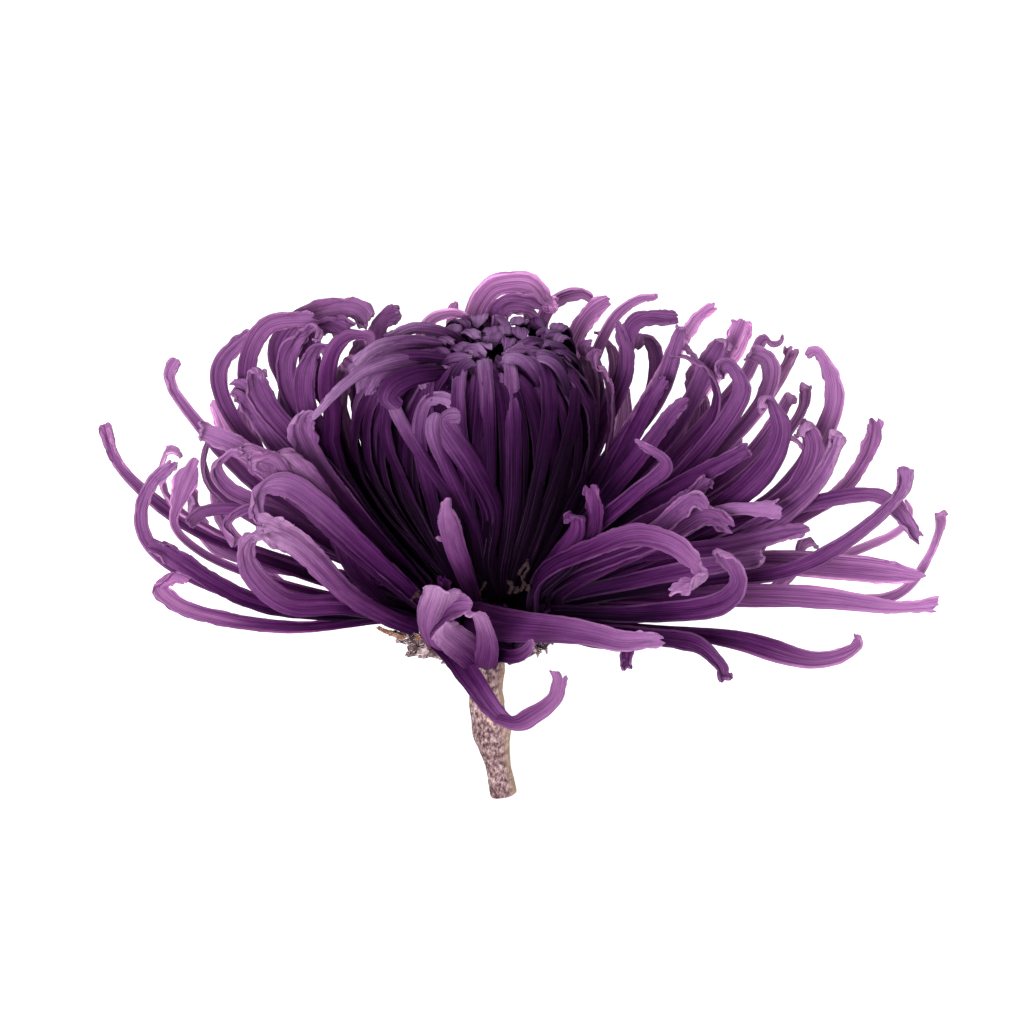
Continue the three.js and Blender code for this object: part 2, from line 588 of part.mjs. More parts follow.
// A turned core on the flower's axis, laid down with it.
function turned(profile, sides) {
  const geometry = new THREE.LatheGeometry(
    profile.map(([x, y]) => new THREE.Vector2(x, y)), sides);
  const position = geometry.attributes.position;
  for (let i = 0; i < position.count; i++) {
    const p = laid(new THREE.Vector3(
      position.getX(i), -position.getZ(i), position.getY(i)));
    position.setXYZ(i, p.x, p.y, p.z);
  }
  return solidOf(geometry);
}

// One body: slivers thinner than the grain go, loose scraps are dropped and sealed hollows filled.
const grain = 0.03;
const join = (solids) => wasm.Manifold.union(solids);
function oneBody(solid) {
  return solid.setTolerance(grain).decompose().sort((a, b) => b.volume() - a.volume())[0];
}
const underFloor = (() => {
  const block = new THREE.BoxGeometry(floorBlock.side, floorBlock.side, floorBlock.depth);
  block.translate(0, 0, -floorBlock.depth / 2);
  return solidOf(block);
})();

function stemSolid() {
  const line = new THREE.CatmullRomCurve3(
    stemLine.map(([x, z]) => laid(new THREE.Vector3(x, 0, z - nodeGap))), false, "centripetal",
  ).getPoints(stemSteps);
  const radii = stemLine.map(([, , radius], i) => [i / (stemLine.length - 1), radius]);
  const frames = framesAlong(line, () => new THREE.Vector3(0, -1, 0));
  const geometry = new THREE.CylinderGeometry(1, 1, 1, stemSides, stemSteps);
  const position = geometry.attributes.position;
  for (let i = 0; i < position.count; i++) {
    const k = Math.round((position.getY(i) + 0.5) * stemSteps);
    const radius = readOff(radii, k / stemSteps);
    const p = line[k].clone()
      .addScaledVector(frames[k].across, position.getX(i) * radius)
      .addScaledVector(frames[k].up, position.getZ(i) * radius);
    position.setXYZ(i, p.x, p.y, p.z);
  }
  return oneBody(solidOf(geometry).subtract(underFloor));
}

function involucreSolid() {
  const around = startDraws(seed + 2);
  const scales = [];
  for (let i = 0; i < bracts.count; i++) {
    const round = (i * 360) / bracts.count + around(bracts.spread.azimuth);
    const turn = Math.cos((round - bracts.left.azimuth) * degrees);
    const leftward = Math.max(0, turn) ** bracts.left.sharpness;
    const reach = THREE.MathUtils.lerp(bracts.reach.most, bracts.reach.left, leftward)
      * (1 + around(bracts.spread.reach));
    const slope = THREE.MathUtils.lerp(bracts.rise.most, bracts.rise.left, leftward)
      + around(bracts.spread.rise);
    const rise = bracts.curl.map((curl) => slope + curl);
    const line = grownLine(
      round * degrees, bracts.root, reach, rise, around(bracts.spread.sway)).map(laid);
    scales.push(strap(line, outward, bracts.width, bracts.thickness, bracts.mostSteps));
  }
  return oneBody(join([turned(cupProfile, cupSides), ...scales]));
}

function outerFloretsSolid() {
  const around = startDraws(seed);
  const drawn = [...leftFlorets, ...backFlorets, ...rightFlorets, ...frontFlorets].map((f) =>
    floret(drawnOuterLine(f), () => frontward, f[0]));
  const grown = outerRings.flatMap((ring) =>
    outerRingLines(ring, around).map((line) => floret(line, outward, ring.width)));
  return oneBody(join([turned(outerCore, coreSides), ...drawn, ...grown]).subtract(underFloor));
}

function innerFloretsSolid() {
  const around = startDraws(seed + 1);
  const drawn = domeFlorets.map((f) => floret(drawnDomeLine(f), outward, f[0]));
  const grown = domeRings.flatMap((ring) =>
    domeRingLines(ring, around).map((line) => floret(line, outward, ring.width)));
  return oneBody(join([turned(innerCore, coreSides), ...drawn, ...grown]));
}

function centreFloretsSolid() {
  const around = startDraws(seed + 3);
  const studs = [];
  for (let i = 0; i < nubs.count; i++) {
    const azimuth = i * nubs.goldenAngle * degrees;
    const radius = nubs.spread * Math.sqrt((i + 0.5) / nubs.count);
    const x = radius * Math.cos(azimuth);
    const y = radius * Math.sin(azimuth);
    const top = nubs.top + nubs.slope * y - nubs.fall * radius ** 2 + around(nubs.topSpread);
    const foot = new THREE.Vector3(
      domeHole.x + x * nubs.footShare, domeHole.y + y * nubs.footShare, top - nubs.length);
    const head = new THREE.Vector3(domeHole.x + x, domeHole.y + y, top);
    const line = smoothLine([foot, head]).map(laid);
    studs.push(strap(line, outward, nubs.width, nubs.thickness, nubs.mostSteps));
  }
  return oneBody(join([turned(centreCore, centreSides), ...studs]));
}

// The flower, with its box's bottom centre at the origin
const flower = new THREE.Group();
function addNode(name, solid, colour, roughness) {
  const mesh = solid.getMesh();
  const geometry = new THREE.BufferGeometry()
    .setAttribute("position", new THREE.BufferAttribute(mesh.vertProperties, 3))
    .setIndex(new THREE.BufferAttribute(mesh.triVerts, 1));
  geometry.computeVertexNormals();
  const material = new THREE.MeshStandardMaterial({ color: colour, roughness, metalness: 0 });
  const node = new THREE.Mesh(geometry, material);
  node.name = name;
  flower.add(node);
}
addNode("stem", stemSolid(), 0xa39389, 0.9);
addNode("involucre", involucreSolid(), 0x7a6558, 0.95);
addNode("outer_florets", outerFloretsSolid(), 0x7d5585, 0.75);
addNode("inner_florets", innerFloretsSolid(), 0x55305c, 0.75);
addNode("centre_florets", centreFloretsSolid(), 0x5c4a60, 0.85);
const box = new THREE.Box3().setFromObject(flower);
const middle = box.getCenter(new THREE.Vector3());
flower.position.set(-middle.x, -middle.y, -box.min.z);

export default flower;
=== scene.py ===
# Spider chrysanthemum, lying tipped back on its cut stem and its back florets.
# Lines are worked out in millimetres on the flower's own axis (x right, y back, z up the axis),
# then laid down, and each floret is bent along its line.
import math

import bpy
import numpy as np
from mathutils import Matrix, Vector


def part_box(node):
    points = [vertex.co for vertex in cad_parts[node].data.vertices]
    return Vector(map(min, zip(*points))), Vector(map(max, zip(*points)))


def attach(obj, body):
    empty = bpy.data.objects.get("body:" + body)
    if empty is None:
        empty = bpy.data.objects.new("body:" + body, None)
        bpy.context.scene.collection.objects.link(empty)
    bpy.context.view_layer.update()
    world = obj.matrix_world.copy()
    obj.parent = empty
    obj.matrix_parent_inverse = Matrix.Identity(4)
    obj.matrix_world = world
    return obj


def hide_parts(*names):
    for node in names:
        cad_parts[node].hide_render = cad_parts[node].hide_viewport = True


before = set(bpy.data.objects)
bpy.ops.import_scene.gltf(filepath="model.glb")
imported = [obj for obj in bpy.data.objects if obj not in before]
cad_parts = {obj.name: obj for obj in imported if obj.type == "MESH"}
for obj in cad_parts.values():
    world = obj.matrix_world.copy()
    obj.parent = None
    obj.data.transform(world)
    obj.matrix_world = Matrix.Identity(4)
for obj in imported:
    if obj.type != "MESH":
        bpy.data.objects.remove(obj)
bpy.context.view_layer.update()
mm = 0.001

flower = {
    "tipBack": 27,  # degrees from upright
    "drawnFrom": 20,  # degrees above the flower's own plane
    "restFlat": 0.45,
    "floorReach": 0.45,
    "floorSoftness": 0.9,
    "middle": (0, 0, 24),
    "seed": 20420,
}
tipBack = math.radians(flower["tipBack"])
drawnFrom = math.radians(flower["drawnFrom"])


def startDraws(seed):
    # the same draws as in the solids: each call gives a number from -spread to spread
    state = [seed]

    def around(spread):
        state[0] = state[0] * 16807 % 2147483647
        return (state[0] / 2147483647 * 2 - 1) * spread

    return around


def readOff(pairs, key):
    keys, values = zip(*pairs)
    return np.interp(key, keys, values)


# the stem's line, and how the flower is laid down
stem = {
    "line": [  # across, height, radius
        (-0.5, -3.4, 2.0),
        (-1.3, -8.1, 2.4),
        (-0.5, -13.7, 2.65),
        (0.4, -18.8, 1.75),
        (1.2, -23.3, 1.95),
    ],
    "gap": 0.3,
    "cadSides": 10,
    "cadSteps": 9,
}
stemAcross, stemUp, stemRadius = zip(*stem["line"])
lift = stemRadius[-1] * math.sin(tipBack) - stemUp[-1] * math.cos(tipBack) - flower["restFlat"]


def laid(points):
    p = np.atleast_2d(np.array(points, float))
    y = p[:, 1] * math.cos(tipBack) + p[:, 2] * math.sin(tipBack)
    z = p[:, 2] * math.cos(tipBack) - p[:, 1] * math.sin(tipBack) + lift
    return np.column_stack([p[:, 0], y, z])


def fromFront(across, up, depth):
    height = (up - depth * math.sin(drawnFrom)) / math.cos(drawnFrom)
    return np.array([across, depth, height])


def smoothLine(points, steps=64):
    # centripetal Catmull-Rom with even steps from point to point
    p = np.array(points, float)
    p = np.vstack([2 * p[0] - p[1], p, 2 * p[-1] - p[-2]])
    spans = len(p) - 3
    line = []
    for step in range(steps + 1):
        place = min(step / steps * spans, spans - 1e-9)
        i = int(place)
        t = place - i
        a, b, c, d = p[i : i + 4]
        g0 = max(math.dist(a, b) ** 0.5, 1e-4)
        g1 = max(math.dist(b, c) ** 0.5, 1e-4)
        g2 = max(math.dist(c, d) ** 0.5, 1e-4)
        m1 = ((b - a) / g0 - (c - a) / (g0 + g1) + (c - b) / g1) * g1
        m2 = ((c - b) / g1 - (d - b) / (g1 + g2) + (d - c) / g2) * g1
        line.append((2 * b - 2 * c + m1 + m2) * t**3 + (3 * c - 3 * b - 2 * m1 - m2) * t**2 + m1 * t + b)
    return np.array(line)


def framesAlong(line, facing):
    # frames that turn as little as they can, all turned by one angle so that "up" faces best
    tangents = np.gradient(line, axis=0)
    tangents /= np.linalg.norm(tangents, axis=1)[:, None]
    side = np.cross((0, 0, 1), tangents[0])
    if np.linalg.norm(side) < 0.1:
        side = np.array((1.0, 0, 0))
    across = []
    for t in tangents:
        side = side - t * np.dot(side, t)
        side = side / np.linalg.norm(side)
        across.append(side)
    across = np.array(across)
    up = np.cross(across, tangents)
    wanted = np.cross(tangents, facing)
    angle = 2 * np.arctan2((wanted * up).sum(1), (wanted * across).sum(1))
    weight = (wanted**2).sum(1)
    turn = math.atan2((np.sin(angle) * weight).sum(), (np.cos(angle) * weight).sum()) / 2
    newAcross = across * math.cos(turn) + up * math.sin(turn)
    newUp = np.cross(newAcross, tangents)
    if (newUp * facing).sum() < 0:
        newAcross, newUp = -newAcross, -newUp
    return tangents, newAcross, newUp


stemCadLine = smoothLine(
    laid([(x, 0, z - stem["gap"]) for x, z in zip(stemAcross, stemUp)]), stem["cadSteps"]
)
_, stemSide, stemFront = framesAlong(stemCadLine, np.array([(0.0, -1, 0)] * len(stemCadLine)))
stemRadii = np.interp(
    np.linspace(0, 1, stem["cadSteps"] + 1), np.linspace(0, 1, len(stemRadius)), stemRadius
)
corner = np.arange(stem["cadSides"]) * 2 * math.pi / stem["cadSides"]
stemRing = stemCadLine[:, None] + stemRadii[:, None, None] * (
    stemSide[:, None] * np.sin(corner)[None, :, None] + stemFront[:, None] * np.cos(corner)[None, :, None]
)
stemLow = np.array(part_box("stem")[0]) / mm
# from the laid flower to the part's origin
shift = np.array([stemLow[0] - stemRing[..., 0].min(), stemLow[1] - stemRing[..., 1].min(), 0])
print("flower laid, shift", shift.round(3))


def placed(points):
    return laid(points) + shift


frontward = laid([(0, -math.cos(drawnFrom), math.sin(drawnFrom))])[0] - laid([(0, 0, 0)])[0]
flowerMiddle = placed([flower["middle"]])[0]

# the camera, which looks down along the flower's own view
view = {
    "target": (2.43, 0, 19.46),  # on the flower's axis, mm
    "distance": 2500,
    "width": 146.3,  # what the picture's width takes in at the target, mm
}
target = placed([view["target"]])[0]
cameraData = bpy.data.cameras.new("camera")
camera = bpy.data.objects.new("camera", cameraData)
bpy.context.collection.objects.link(camera)
camera.location = (target + frontward * view["distance"]) * mm
camera.rotation_euler = (math.pi / 2 - (tipBack + drawnFrom), 0, 0)
cameraData.sensor_width = 36
cameraData.lens = cameraData.sensor_width * view["distance"] / view["width"]
cameraData.clip_end = 20
bpy.context.scene.camera = camera
print("camera set")

# the dome that the inner florets form
dome = {
    "profile": [  # height, radius
        (5, 4.2),
        (9, 5.6),
        (14, 9.4),
        (20, 13.2),
        (26, 16.2),
        (31, 17.4),
        (36, 17.1),
        (40, 14.8),
        (43, 11.2),
        (44.5, 7),
        (45.5, 0),
    ],
    "lean": -3,
    "leanSpan": (5, 57),
    "keepOut": (5, 48),  # heights between which outer florets stay outside it
    "skin": 1.7,
    "gap": 0.3,
    "rootRadius": 4.4,
    "rootHeight": 8.2,
    "coreTop": 10.4,
}


def domeAxis(z):
    low, high = dome["leanSpan"]
    return dome["lean"] * np.sin(np.clip((z - low) / (high - low), 0, 1) * math.pi)


def domeRadius(z):
    return readOff(dome["profile"], z)


def pushed(points, least=None, most=None):
    # points moved out to the least distance from the dome's axis, or in to the most
    p = np.array(points, float)
    axis = domeAxis(p[:, 2])
    reach = np.hypot(p[:, 0] - axis, p[:, 1])
    wanted = np.maximum(reach, least) if least is not None else np.minimum(reach, most)
    share = wanted / np.maximum(reach, 1e-6)
    p[:, 0] = axis + (p[:, 0] - axis) * share
    p[:, 1] *= share
    return p


def outsideDome(points, width):
    z = np.array(points)[:, 2]
    low, high = dome["keepOut"]
    least = np.where((z > low) & (z < high), domeRadius(z) + dome["skin"] + width / 2, 0)
    return pushed(points, least=least)


def insideDome(points, width):
    z = np.array(points)[:, 2]
    return pushed(points, most=domeRadius(z) + dome["skin"] - dome["gap"] - width / 2)


def alongFloor(points):
    p = np.array(points)
    above = p[:, 2] - flower["floorReach"]
    p[:, 2] = flower["floorReach"] + (above + np.hypot(above, flower["floorSoftness"])) / 2
    return p


# drawn florets: width, depth of the tip behind the axis, and the line across and up as seen from
# the front, all in mm
leftFlorets = [
    [2.5, 22, [-20, 7, -37, 13.2, -46.7, 18.2, -54.3, 25.3, -56.6, 31.0]],
    [2.2, 5, [-20, 4, -40, 7.5, -49.4, 13.5, -50.7, 18.2, -49.0, 22.5, -45.4, 25.7]],
    [5.2, -8, [-12, 3.5, -31, 8.2, -41.6, 12.4, -45.7, 16.4, -44.9, 20.6, -43.2, 26.0]],
    [3.1, -12, [-12, 4, -22, 3.7, -34.4, 5.6, -45.1, 11.6, -49.1, 14.2]],
    [2.2, 6, [-10, 6, -30, 16, -36, 18.5, -41.5, 18.4, -45.1, 16.1]],
    [2.4, 3, [-15, 3, -28.5, 1.8, -38, 2.8, -45.3, 4.9, -48.2, 7.5, -46, 8.7, -43.9, 7.8]],
    [2.5, -8, [-12, 6, -30, 18, -38, 21.7, -39.9, 24.8, -36.5, 26.7, -32.8, 25.8]],
    [3.0, -2, [-12, 8, -28, 21, -36.8, 27.7, -43.9, 30.3]],
    [2.3, 10, [-15, 9, -33, 21, -42.6, 31.1, -46.7, 37.5, -45.7, 40.5]],
    [3.2, 20, [-20, 14, -37, 28, -40.5, 35]],
    [3.9, -18, [-10, 5, -19, 13.4, -25.5, 19.6, -29.6, 22.2, -32.7, 21.8, -33.9, 19.0, -33.4, 16.2]],
    [3.3, -13, [-11.2, 1.9, -19.9, 9.8, -24.4, 20.4, -29.4, 25.9, -32.4, 25.0]],
    [3.8, -22, [-11, 2.5, -21, 5, -29.6, 5.4, -35.0, 10.6, -35.0, 14.2, -33.2, 16.4]],
    [4.3, -22, [-10.7, 1.5, -19.9, 5.9, -28.7, 14.2, -34.8, 16.6]],
    [2.0, -14, [-11, 5, -24, 14, -34, 19, -37.5, 17.5, -38.2, 16.3, -36.5, 13.5]],
    [2.4, 8, [-12, 9, -34.1, 27.3, -39.1, 35.1, -39.1, 39.6, -33.4, 44.9]],
    [3.5, 0, [-9, 5, -24, 20, -31.7, 29.2, -36.7, 36.5, -38.6, 36.3]],
    [3.4, 4, [-9, 5, -22, 20, -33, 31, -35.4, 38.6, -32.7, 44.8, -25.4, 46.5]],
    [3.6, -3, [-9, 6, -22, 22, -33, 34, -34.2, 38.5, -31.5, 40.1]],
    [3.2, 2, [-9, 6, -21, 22, -29.4, 36.3, -29.4, 41, -26, 44.6, -22.7, 43.9]],
    [2.8, -2, [-8, 6, -18, 22, -23.9, 36.3, -21.8, 42.7, -18, 43.4, -17.3, 41.5]],
    [3.6, 10, [-8, 7, -22, 26, -31, 41, -28, 45.8, -20, 47.4, -16.8, 43.4]],
    [3.0, 12, [-6, 8, -14, 28, -17.1, 43.5, -14.7, 46.2, -11.4, 44.8]],
    [3.8, -6, [-10, 7, -20.6, 19, -26.1, 26.1, -27.7, 31.1, -26.5, 33.2]],
    [3.6, 0, [-9, 6, -19, 20, -26.5, 32, -26.9, 38.5, -25, 41.5, -22, 40.5]],
    [3.4, 6, [-8, 7, -17, 24, -26.5, 40, -25.5, 44.6, -19, 44.4]],
    [3.4, -12, [-11.5, 7.3, -22.1, 15.3, -29, 22, -33, 24]],
    [2.8, -16, [-11, 5, -22, 14.5, -28.6, 21.5, -31.8, 25.6, -34.6, 25.4, -34.8, 23]],
    [2.6, -9, [-11, 6, -24, 17, -31, 24, -34.8, 27, -37.6, 25.2]],
]
backFlorets = [
    [3.4, 25, [-3, 30, -3.4, 45.0, -0.7, 50.3, 2.2, 51.2, 4.8, 51.0, 6.8, 48.9, 8.0, 45.6]],
    [3.2, 20, [2, 30, 0.0, 45.6, 1.4, 47.9, 4.2, 48.0, 7.0, 46.6]],
    [2.8, 17, [-10, 35, -9.8, 45.3, -6.5, 46.8, -3.7, 46]],
    [1.8, 24, [-5, 35, -6.3, 47, -6, 48.8]],
]
rightFlorets = [
    [2.5, 32, [5, 25, 7.4, 47.2, 12.4, 50, 14.7, 49.3]],
    [3.0, 20, [5, 20, 12.1, 44.6, 15.2, 48.4, 16.6, 49.1]],
    [2.0, 24, [6, 14, 14.2, 40.3, 17.8, 46.9, 21.8, 49.1, 24.2, 48.1]],
    [3.0, 14, [6, 12, 12, 25, 18.7, 38.6, 17.8, 45.7]],
    [2.6, 16, [8, 15, 18, 38, 20.2, 45.5, 26.6, 45.7]],
    [3.0, 8, [7, 9, 15.4, 24.4, 23.5, 35.3, 27, 44.6, 28.5, 44]],
    [2.2, 26, [10, 15, 24, 38, 29.2, 46.2, 32, 48.1]],
    [3.0, 12, [8, 10, 25.4, 29.6, 30.6, 39.6, 32.5, 43.6, 30.4, 44.1]],
    [3.5, 22, [15, 15, 28, 34, 34.4, 42.2, 36.5, 48.1]],
    [2.4, 15, [14, 14, 26, 32, 33, 40.5, 35.6, 46]],
    [2.6, 12, [12, 12, 30, 25, 38.9, 35.3, 39.1, 40.1, 34.6, 41.7]],
    [3.0, 4, [12, 10, 25, 22, 33.2, 31.5, 35.3, 36.3, 33.2, 39.6, 30.4, 37.5]],
    [4.0, -4, [10, 7, 30.1, 17.3, 38.9, 24.9, 40.8, 30.6, 38.4, 34.4, 35.1, 33.9]],
    [2.4, 20, [20, 20, 36, 38, 38.6, 43.1, 40.8, 39.6]],
    [3.0, -12, [8, 10, 19.7, 20.9, 24.4, 25.1, 21.6, 27.7, 20.2, 28.7]],
    [2.6, -12, [6, 6, 11, 11, 14, 16.5, 13.5, 22.2]],
    [3.0, -6, [8, 9, 20, 16, 27, 20, 31, 23.5]],
    [2.4, 22, [25, 20, 40, 36, 42.9, 41.7, 41.1, 39.1]],
    [3.3, 8, [12, 8, 40, 20, 47.5, 30.6, 48.5, 36.3, 45.9, 41, 44.4, 40.1]],
    [2.2, 12, [20, 14, 38, 26, 44, 33, 44.4, 38.2]],
    [2.2, 6, [18, 13, 36, 26, 42.1, 35.1, 43.2, 37.9]],
    [3.5, 0, [14, 8, 34, 16, 43.5, 22.5, 45.4, 28.2, 43, 31.3, 41.4, 30.6]],
    [3.6, -3, [14, 7, 36, 15, 45.4, 21.8, 48.7, 27.7, 50.4, 30.6]],
    [2.4, 8, [20, 8, 47.8, 19.9, 53, 26.1, 54.3, 30.6, 53.7, 31.9]],
    [2.8, -2, [10, 6, 29.3, 14.5, 44.7, 19.4, 55.3, 20.4, 59.8, 15.4, 61, 13.8]],
    [2.6, -8, [8, 4, 31, 8.5, 42.3, 10.1, 51.8, 15.3, 58.2, 21.7, 58.7, 25]],
    [1.7, 14, [20, 6, 42, 9.5, 53, 13.2, 58.2, 15.8, 59.8, 18.4, 58.9, 20.2]],
    [1.9, 10, [20, 5, 45, 5.5, 57.7, 6.5, 62, 11.5, 63.9, 17.7, 62, 19.1]],
    [4.4, 6, [12, 5, 34, 10.8, 50.6, 10.3, 61.7, 9.1]],
    [4.0, 0, [8, 5, 31.7, 6.5, 45.9, 6.1, 57.7, 4.6, 63.6, 4.4]],
    [3.7, 5, [13.5, 2.3, 34, 0.1, 46.3, -3.0, 52.6, -0.9, 52.9, 1.2]],
    [2.4, -8, [8, 1, 13.5, -0.1, 18.5, -0.8, 18.3, -3.6, 17.1, -3.2]],
    [2.9, -4, [10, 2, 23, 0.4, 29.6, -1, 32.5, -4.6, 30, -4.9]],
    [3.0, -6, [7, 7, 20, 12, 33, 13.5, 45, 16]],
    [3.0, -4, [7, 8, 18, 17, 30, 24, 38, 28]],
    [3.0, 0, [7, 8, 14, 18, 22, 28, 27, 35]],
    [3.0, -8, [8, 5, 20, 8.5, 30, 10.5, 40, 12]],
    [3.0, 4, [8, 9, 16, 22, 22, 34, 24, 38]],
]
frontFlorets = [
    [4.2, -25, [6.4, 8.9, 13.5, 12.9, 20.6, 15.1, 26.1, 13.4, 29.4, 9.6, 27.7, 8.2, 24.9, 6.3]],
    [3.7, -18, [6.4, 3.5, 20.6, 3.9, 32.5, 5.4, 34.9, 8.4, 31.5, 13.2, 30.4, 12.5]],
    [3.0, -12, [8, 8, 22.5, 15.5, 28.5, 19.8, 30.1, 18.4]],
    [3.5, -10, [8, 7, 25, 15.5, 30.1, 17.9, 34.4, 15.8]],
    [3.8, -8, [9, 7, 25, 15, 33, 18.5, 41, 18.5]],
    [5.3, -23, [-4.2, 3.4, 0, 2.4, 4, 1.9, 10.7, 1.4, 14.3, 0.8, 18.5, -0.1, 24.5, 0.9]],
    [7.2, -28, [-7.6, -1.2, -8.7, 1.0, -8.5, 3.4, -7.5, 6.0, -6.8, 8.8]],
    [4.9, -31, [-1.8, -3.2, -3.4, -2.0, -5.2, -0.4, -7.9, 1.9]],
    [4.4, -33, [-1.7, -3.9, -1.1, -1.0, -1.5, 1.6, -2.6, 3.9, -3.9, 3.0]],
    [2.2, -26, [-0.6, -1.6, 1.5, -2.2, 3.4, -2.1, 4.7, -1.2, 5.3, 0.1]],
    [4.5, -22, [-9.4, 2.6, -8.6, 0.8, -6.2, -1.6, -3.4, -5.4, -0.8, -9.1, 1.4, -11.6, 2.7, -12.7]],
    [3.9, -19, [-2.4, 3.6, -3.8, 9, -5.4, 14.4, -6.4, 18.4, -7.4, 21.0]],
    [4.4, -27.5, [-8.8, 2.2, -7.6, 3.6, -5.9, 4.9, -3.6, 5.5]],
    [2.6, -14, [6, 8, 8.8, 12, 11.6, 15.6, 11.4, 18.2, 9.4, 19.4]],
]
domeFlorets = [
    [3.0, [-7, 9, -14, 18, -18, 26, -17.2, 34.2, -12.5, 38.5]],
    [2.5, [-3, 6, -6.5, 20.4, -9.6, 24.9, -13.4, 31.1, -15, 34.4]],
    [2.5, [-2, 10.3, -3.2, 16.7, -6.3, 23.3, -9, 29.9, -8.9, 32.3]],
    [3.7, [-1.1, 11, -0.5, 18.8, -3.4, 24.4, -6.4, 28.9, -6.9, 30.9, -4.8, 31.7]],
    [2.7, [-5, 9, -9, 20, -10.8, 30.0, -9.6, 34.0, -7.4, 34.6, -4.9, 33.3]],
    [3.0, [-6, 9, -12, 20, -15.8, 30, -14.6, 35.8, -11.5, 38.2, -8.9, 36.3]],
    [2.2, [-4, 9, -8, 25, -9.6, 35, -7.9, 38.9, -6, 39.1]],
    [2.6, [-2, 9, -4, 22, -5.2, 33, -5.1, 38.4]],
    [2.6, [-1, 9, -1, 22, -1.1, 34.2, -1.6, 39.4]],
    [2.6, [1, 9, 2.5, 18.8, 2.6, 30, 2.4, 39.4]],
    [2.8, [2.5, 9, 6.3, 23.5, 7.7, 33, 6.9, 38.6, 4.6, 40.9, 1.6, 40.7]],
    [3.0, [4, 9, 9.1, 23.5, 11.6, 33, 10.8, 39.2, 8.2, 41.9, 4.6, 42.1, 1.8, 41.4]],
    [3.0, [5, 9, 12.9, 23.5, 14.9, 34.2, 13.4, 39.8, 10.6, 43.0, 7.4, 43.5]],
]
# straps that lie over the dome's shoulder: width, then across, up and depth of each point
topStraps = [
    [2.4, [
        -4, 33, 2, -5.5, 39.6, 0, -8.7, 40.7, -3, -11.8, 40.0, -7, -15.3, 39.4, -11, -18.6, 38.2, -14,
        -22.2, 35.4, -16, -25.8, 31.2, -17,
    ]],
    [2.3, [
        -4, 34, 3, -5.4, 40.5, 4, -7.3, 41.7, 3, -9.6, 42.3, 1, -13.6, 42.4, -2, -17.2, 41.4, -4,
        -20.2, 39.0, -5,
    ]],
    [2.2, [-3, 35, 6, -4.2, 41.5, 7, -5.6, 43.0, 6, -7.8, 44.0, 4, -11.8, 44.4, 2, -15.8, 42.6, 1]],
    # a dark crumpled fold, and two blunt flaps under the long ones
    [3.4, [
        -6.8, 38.2, -7, -8.8, 38.0, -10, -11.6, 37.6, -12, -14.2, 36.2, -13.2, -15.2, 34.4, -13.6,
        -14.4, 33.4, -12.8,
    ]],
    [3.0, [
        -7.0, 40.0, -4, -10.4, 40.4, -6, -14.0, 39.8, -8.6, -17.0, 38.0, -10, -18.4, 35.6, -10.6,
        -18.6, 34.4, -10.8,
    ]],
    [2.8, [-7.6, 42.0, 0, -11.6, 42.4, -1.6, -15.6, 41.6, -3, -18.6, 39.4, -4.4, -20.0, 36.8, -5]],
]


# each floret in the same order: its kind, how much light comes through it (0 to 9), how pale it is (4 is
# usual; partly its own colour and partly painted light and shade for how brightly it is lit) and how its tip
# turns
floretKinds = {
    "q": "quill", "s": "spoon", "b": "strap", "t": "torn", "p": "point", "c": "club", "l": "lobe",
    "m": "mitten", "w": "wedge", "f": "flip", "u": "even", "d": "paddle", "e": "leaf", "k": "knob",
    "z": "flared", "y": "fishtail", "j": "hook", "n": "spindle", "g": "bluntStrap",
    "v": "sweep", "x": "folded",
}
leftLook = (
    "ktdtbttsksbtbtkstbstbttsbtbtt",
    "53523733492222232422132113133",
    "44534456456555344343234533344",
    "----h--h-------h--tt-tt----hh",
)
backLook = ("ttps", "7377", "5355", "t---")
rightLook = (
    "bspbsbtssbsbbppttkbkqskttkpkeyzkkbbbbb",
    "77623282963225212545433532655553331121",
    "44433354654444424444445434456654443343",
    "--h--h-tt-hhtt---h-htth----h---hh-h-h-",
)
frontLook = ("tbstfvlmjuwnmt", "32232333322231", "55556677764642", "-------------t")
# strips without a root of their own, in the same way
foldedTips = [
    # the long front floret's end, folded sharply up
    [3.2, [
        0.2, -11.2, -21.8, 3.2, -11.7, -22.4, 5.6, -10.5, -22.4, 7.3, -9.4, -22, 8.6, -8.0, -21.6,
        9.1, -6.3, -21.2, 9.6, -4.4, -21,
    ]],
    # the spindle's side spike
    [0.7, [-5.6, 14.6, -15.4, -7.0, 14.4, -16.2, -8.4, 14.6, -16.8]],
]
foldedLook = ("xp", "53", "45")
domeLook = ("bcccubbgggbbb", "2222222222222", "3443433333333", "-------iii---")
topLook = ("pbbgtt", "222222", "243233")

rootRing = {"low": (9.0, 2.4), "steep": (7.3, 4.2), "steepRise": 65}


def pairsOf(flat):
    return [(flat[i], flat[i + 1]) for i in range(0, len(flat), 2)]


def drawnOuterLine(width, tipDepth, flat):
    drawn = pairsOf(flat)
    azimuth = math.atan2(tipDepth, sum(d[0] for d in drawn) / len(drawn))
    middle = fromFront(*drawn[len(drawn) // 2], tipDepth / 2)
    rise = math.atan2(middle[2] - rootRing["low"][1], math.hypot(middle[0], middle[1]))
    steepness = min(max(rise / math.radians(rootRing["steepRise"]), 0), 1)
    radius, height = (
        low + (steep - low) * steepness for low, steep in zip(rootRing["low"], rootRing["steep"])
    )
    root = np.array([radius * math.cos(azimuth), radius * math.sin(azimuth), height])
    last = (root[0], root[2] * math.cos(drawnFrom) + root[1] * math.sin(drawnFrom))
    reached = [0]
    for point in drawn:
        reached.append(reached[-1] + math.dist(point, last))
        last = point
    depths = [root[1] + (tipDepth - root[1]) * r / reached[-1] for r in reached[1:]]
    points = [fromFront(d[0], d[1], depth) for d, depth in zip(drawn, depths)]
    return alongFloor(placed(outsideDome(smoothLine([root, *points]), width)))


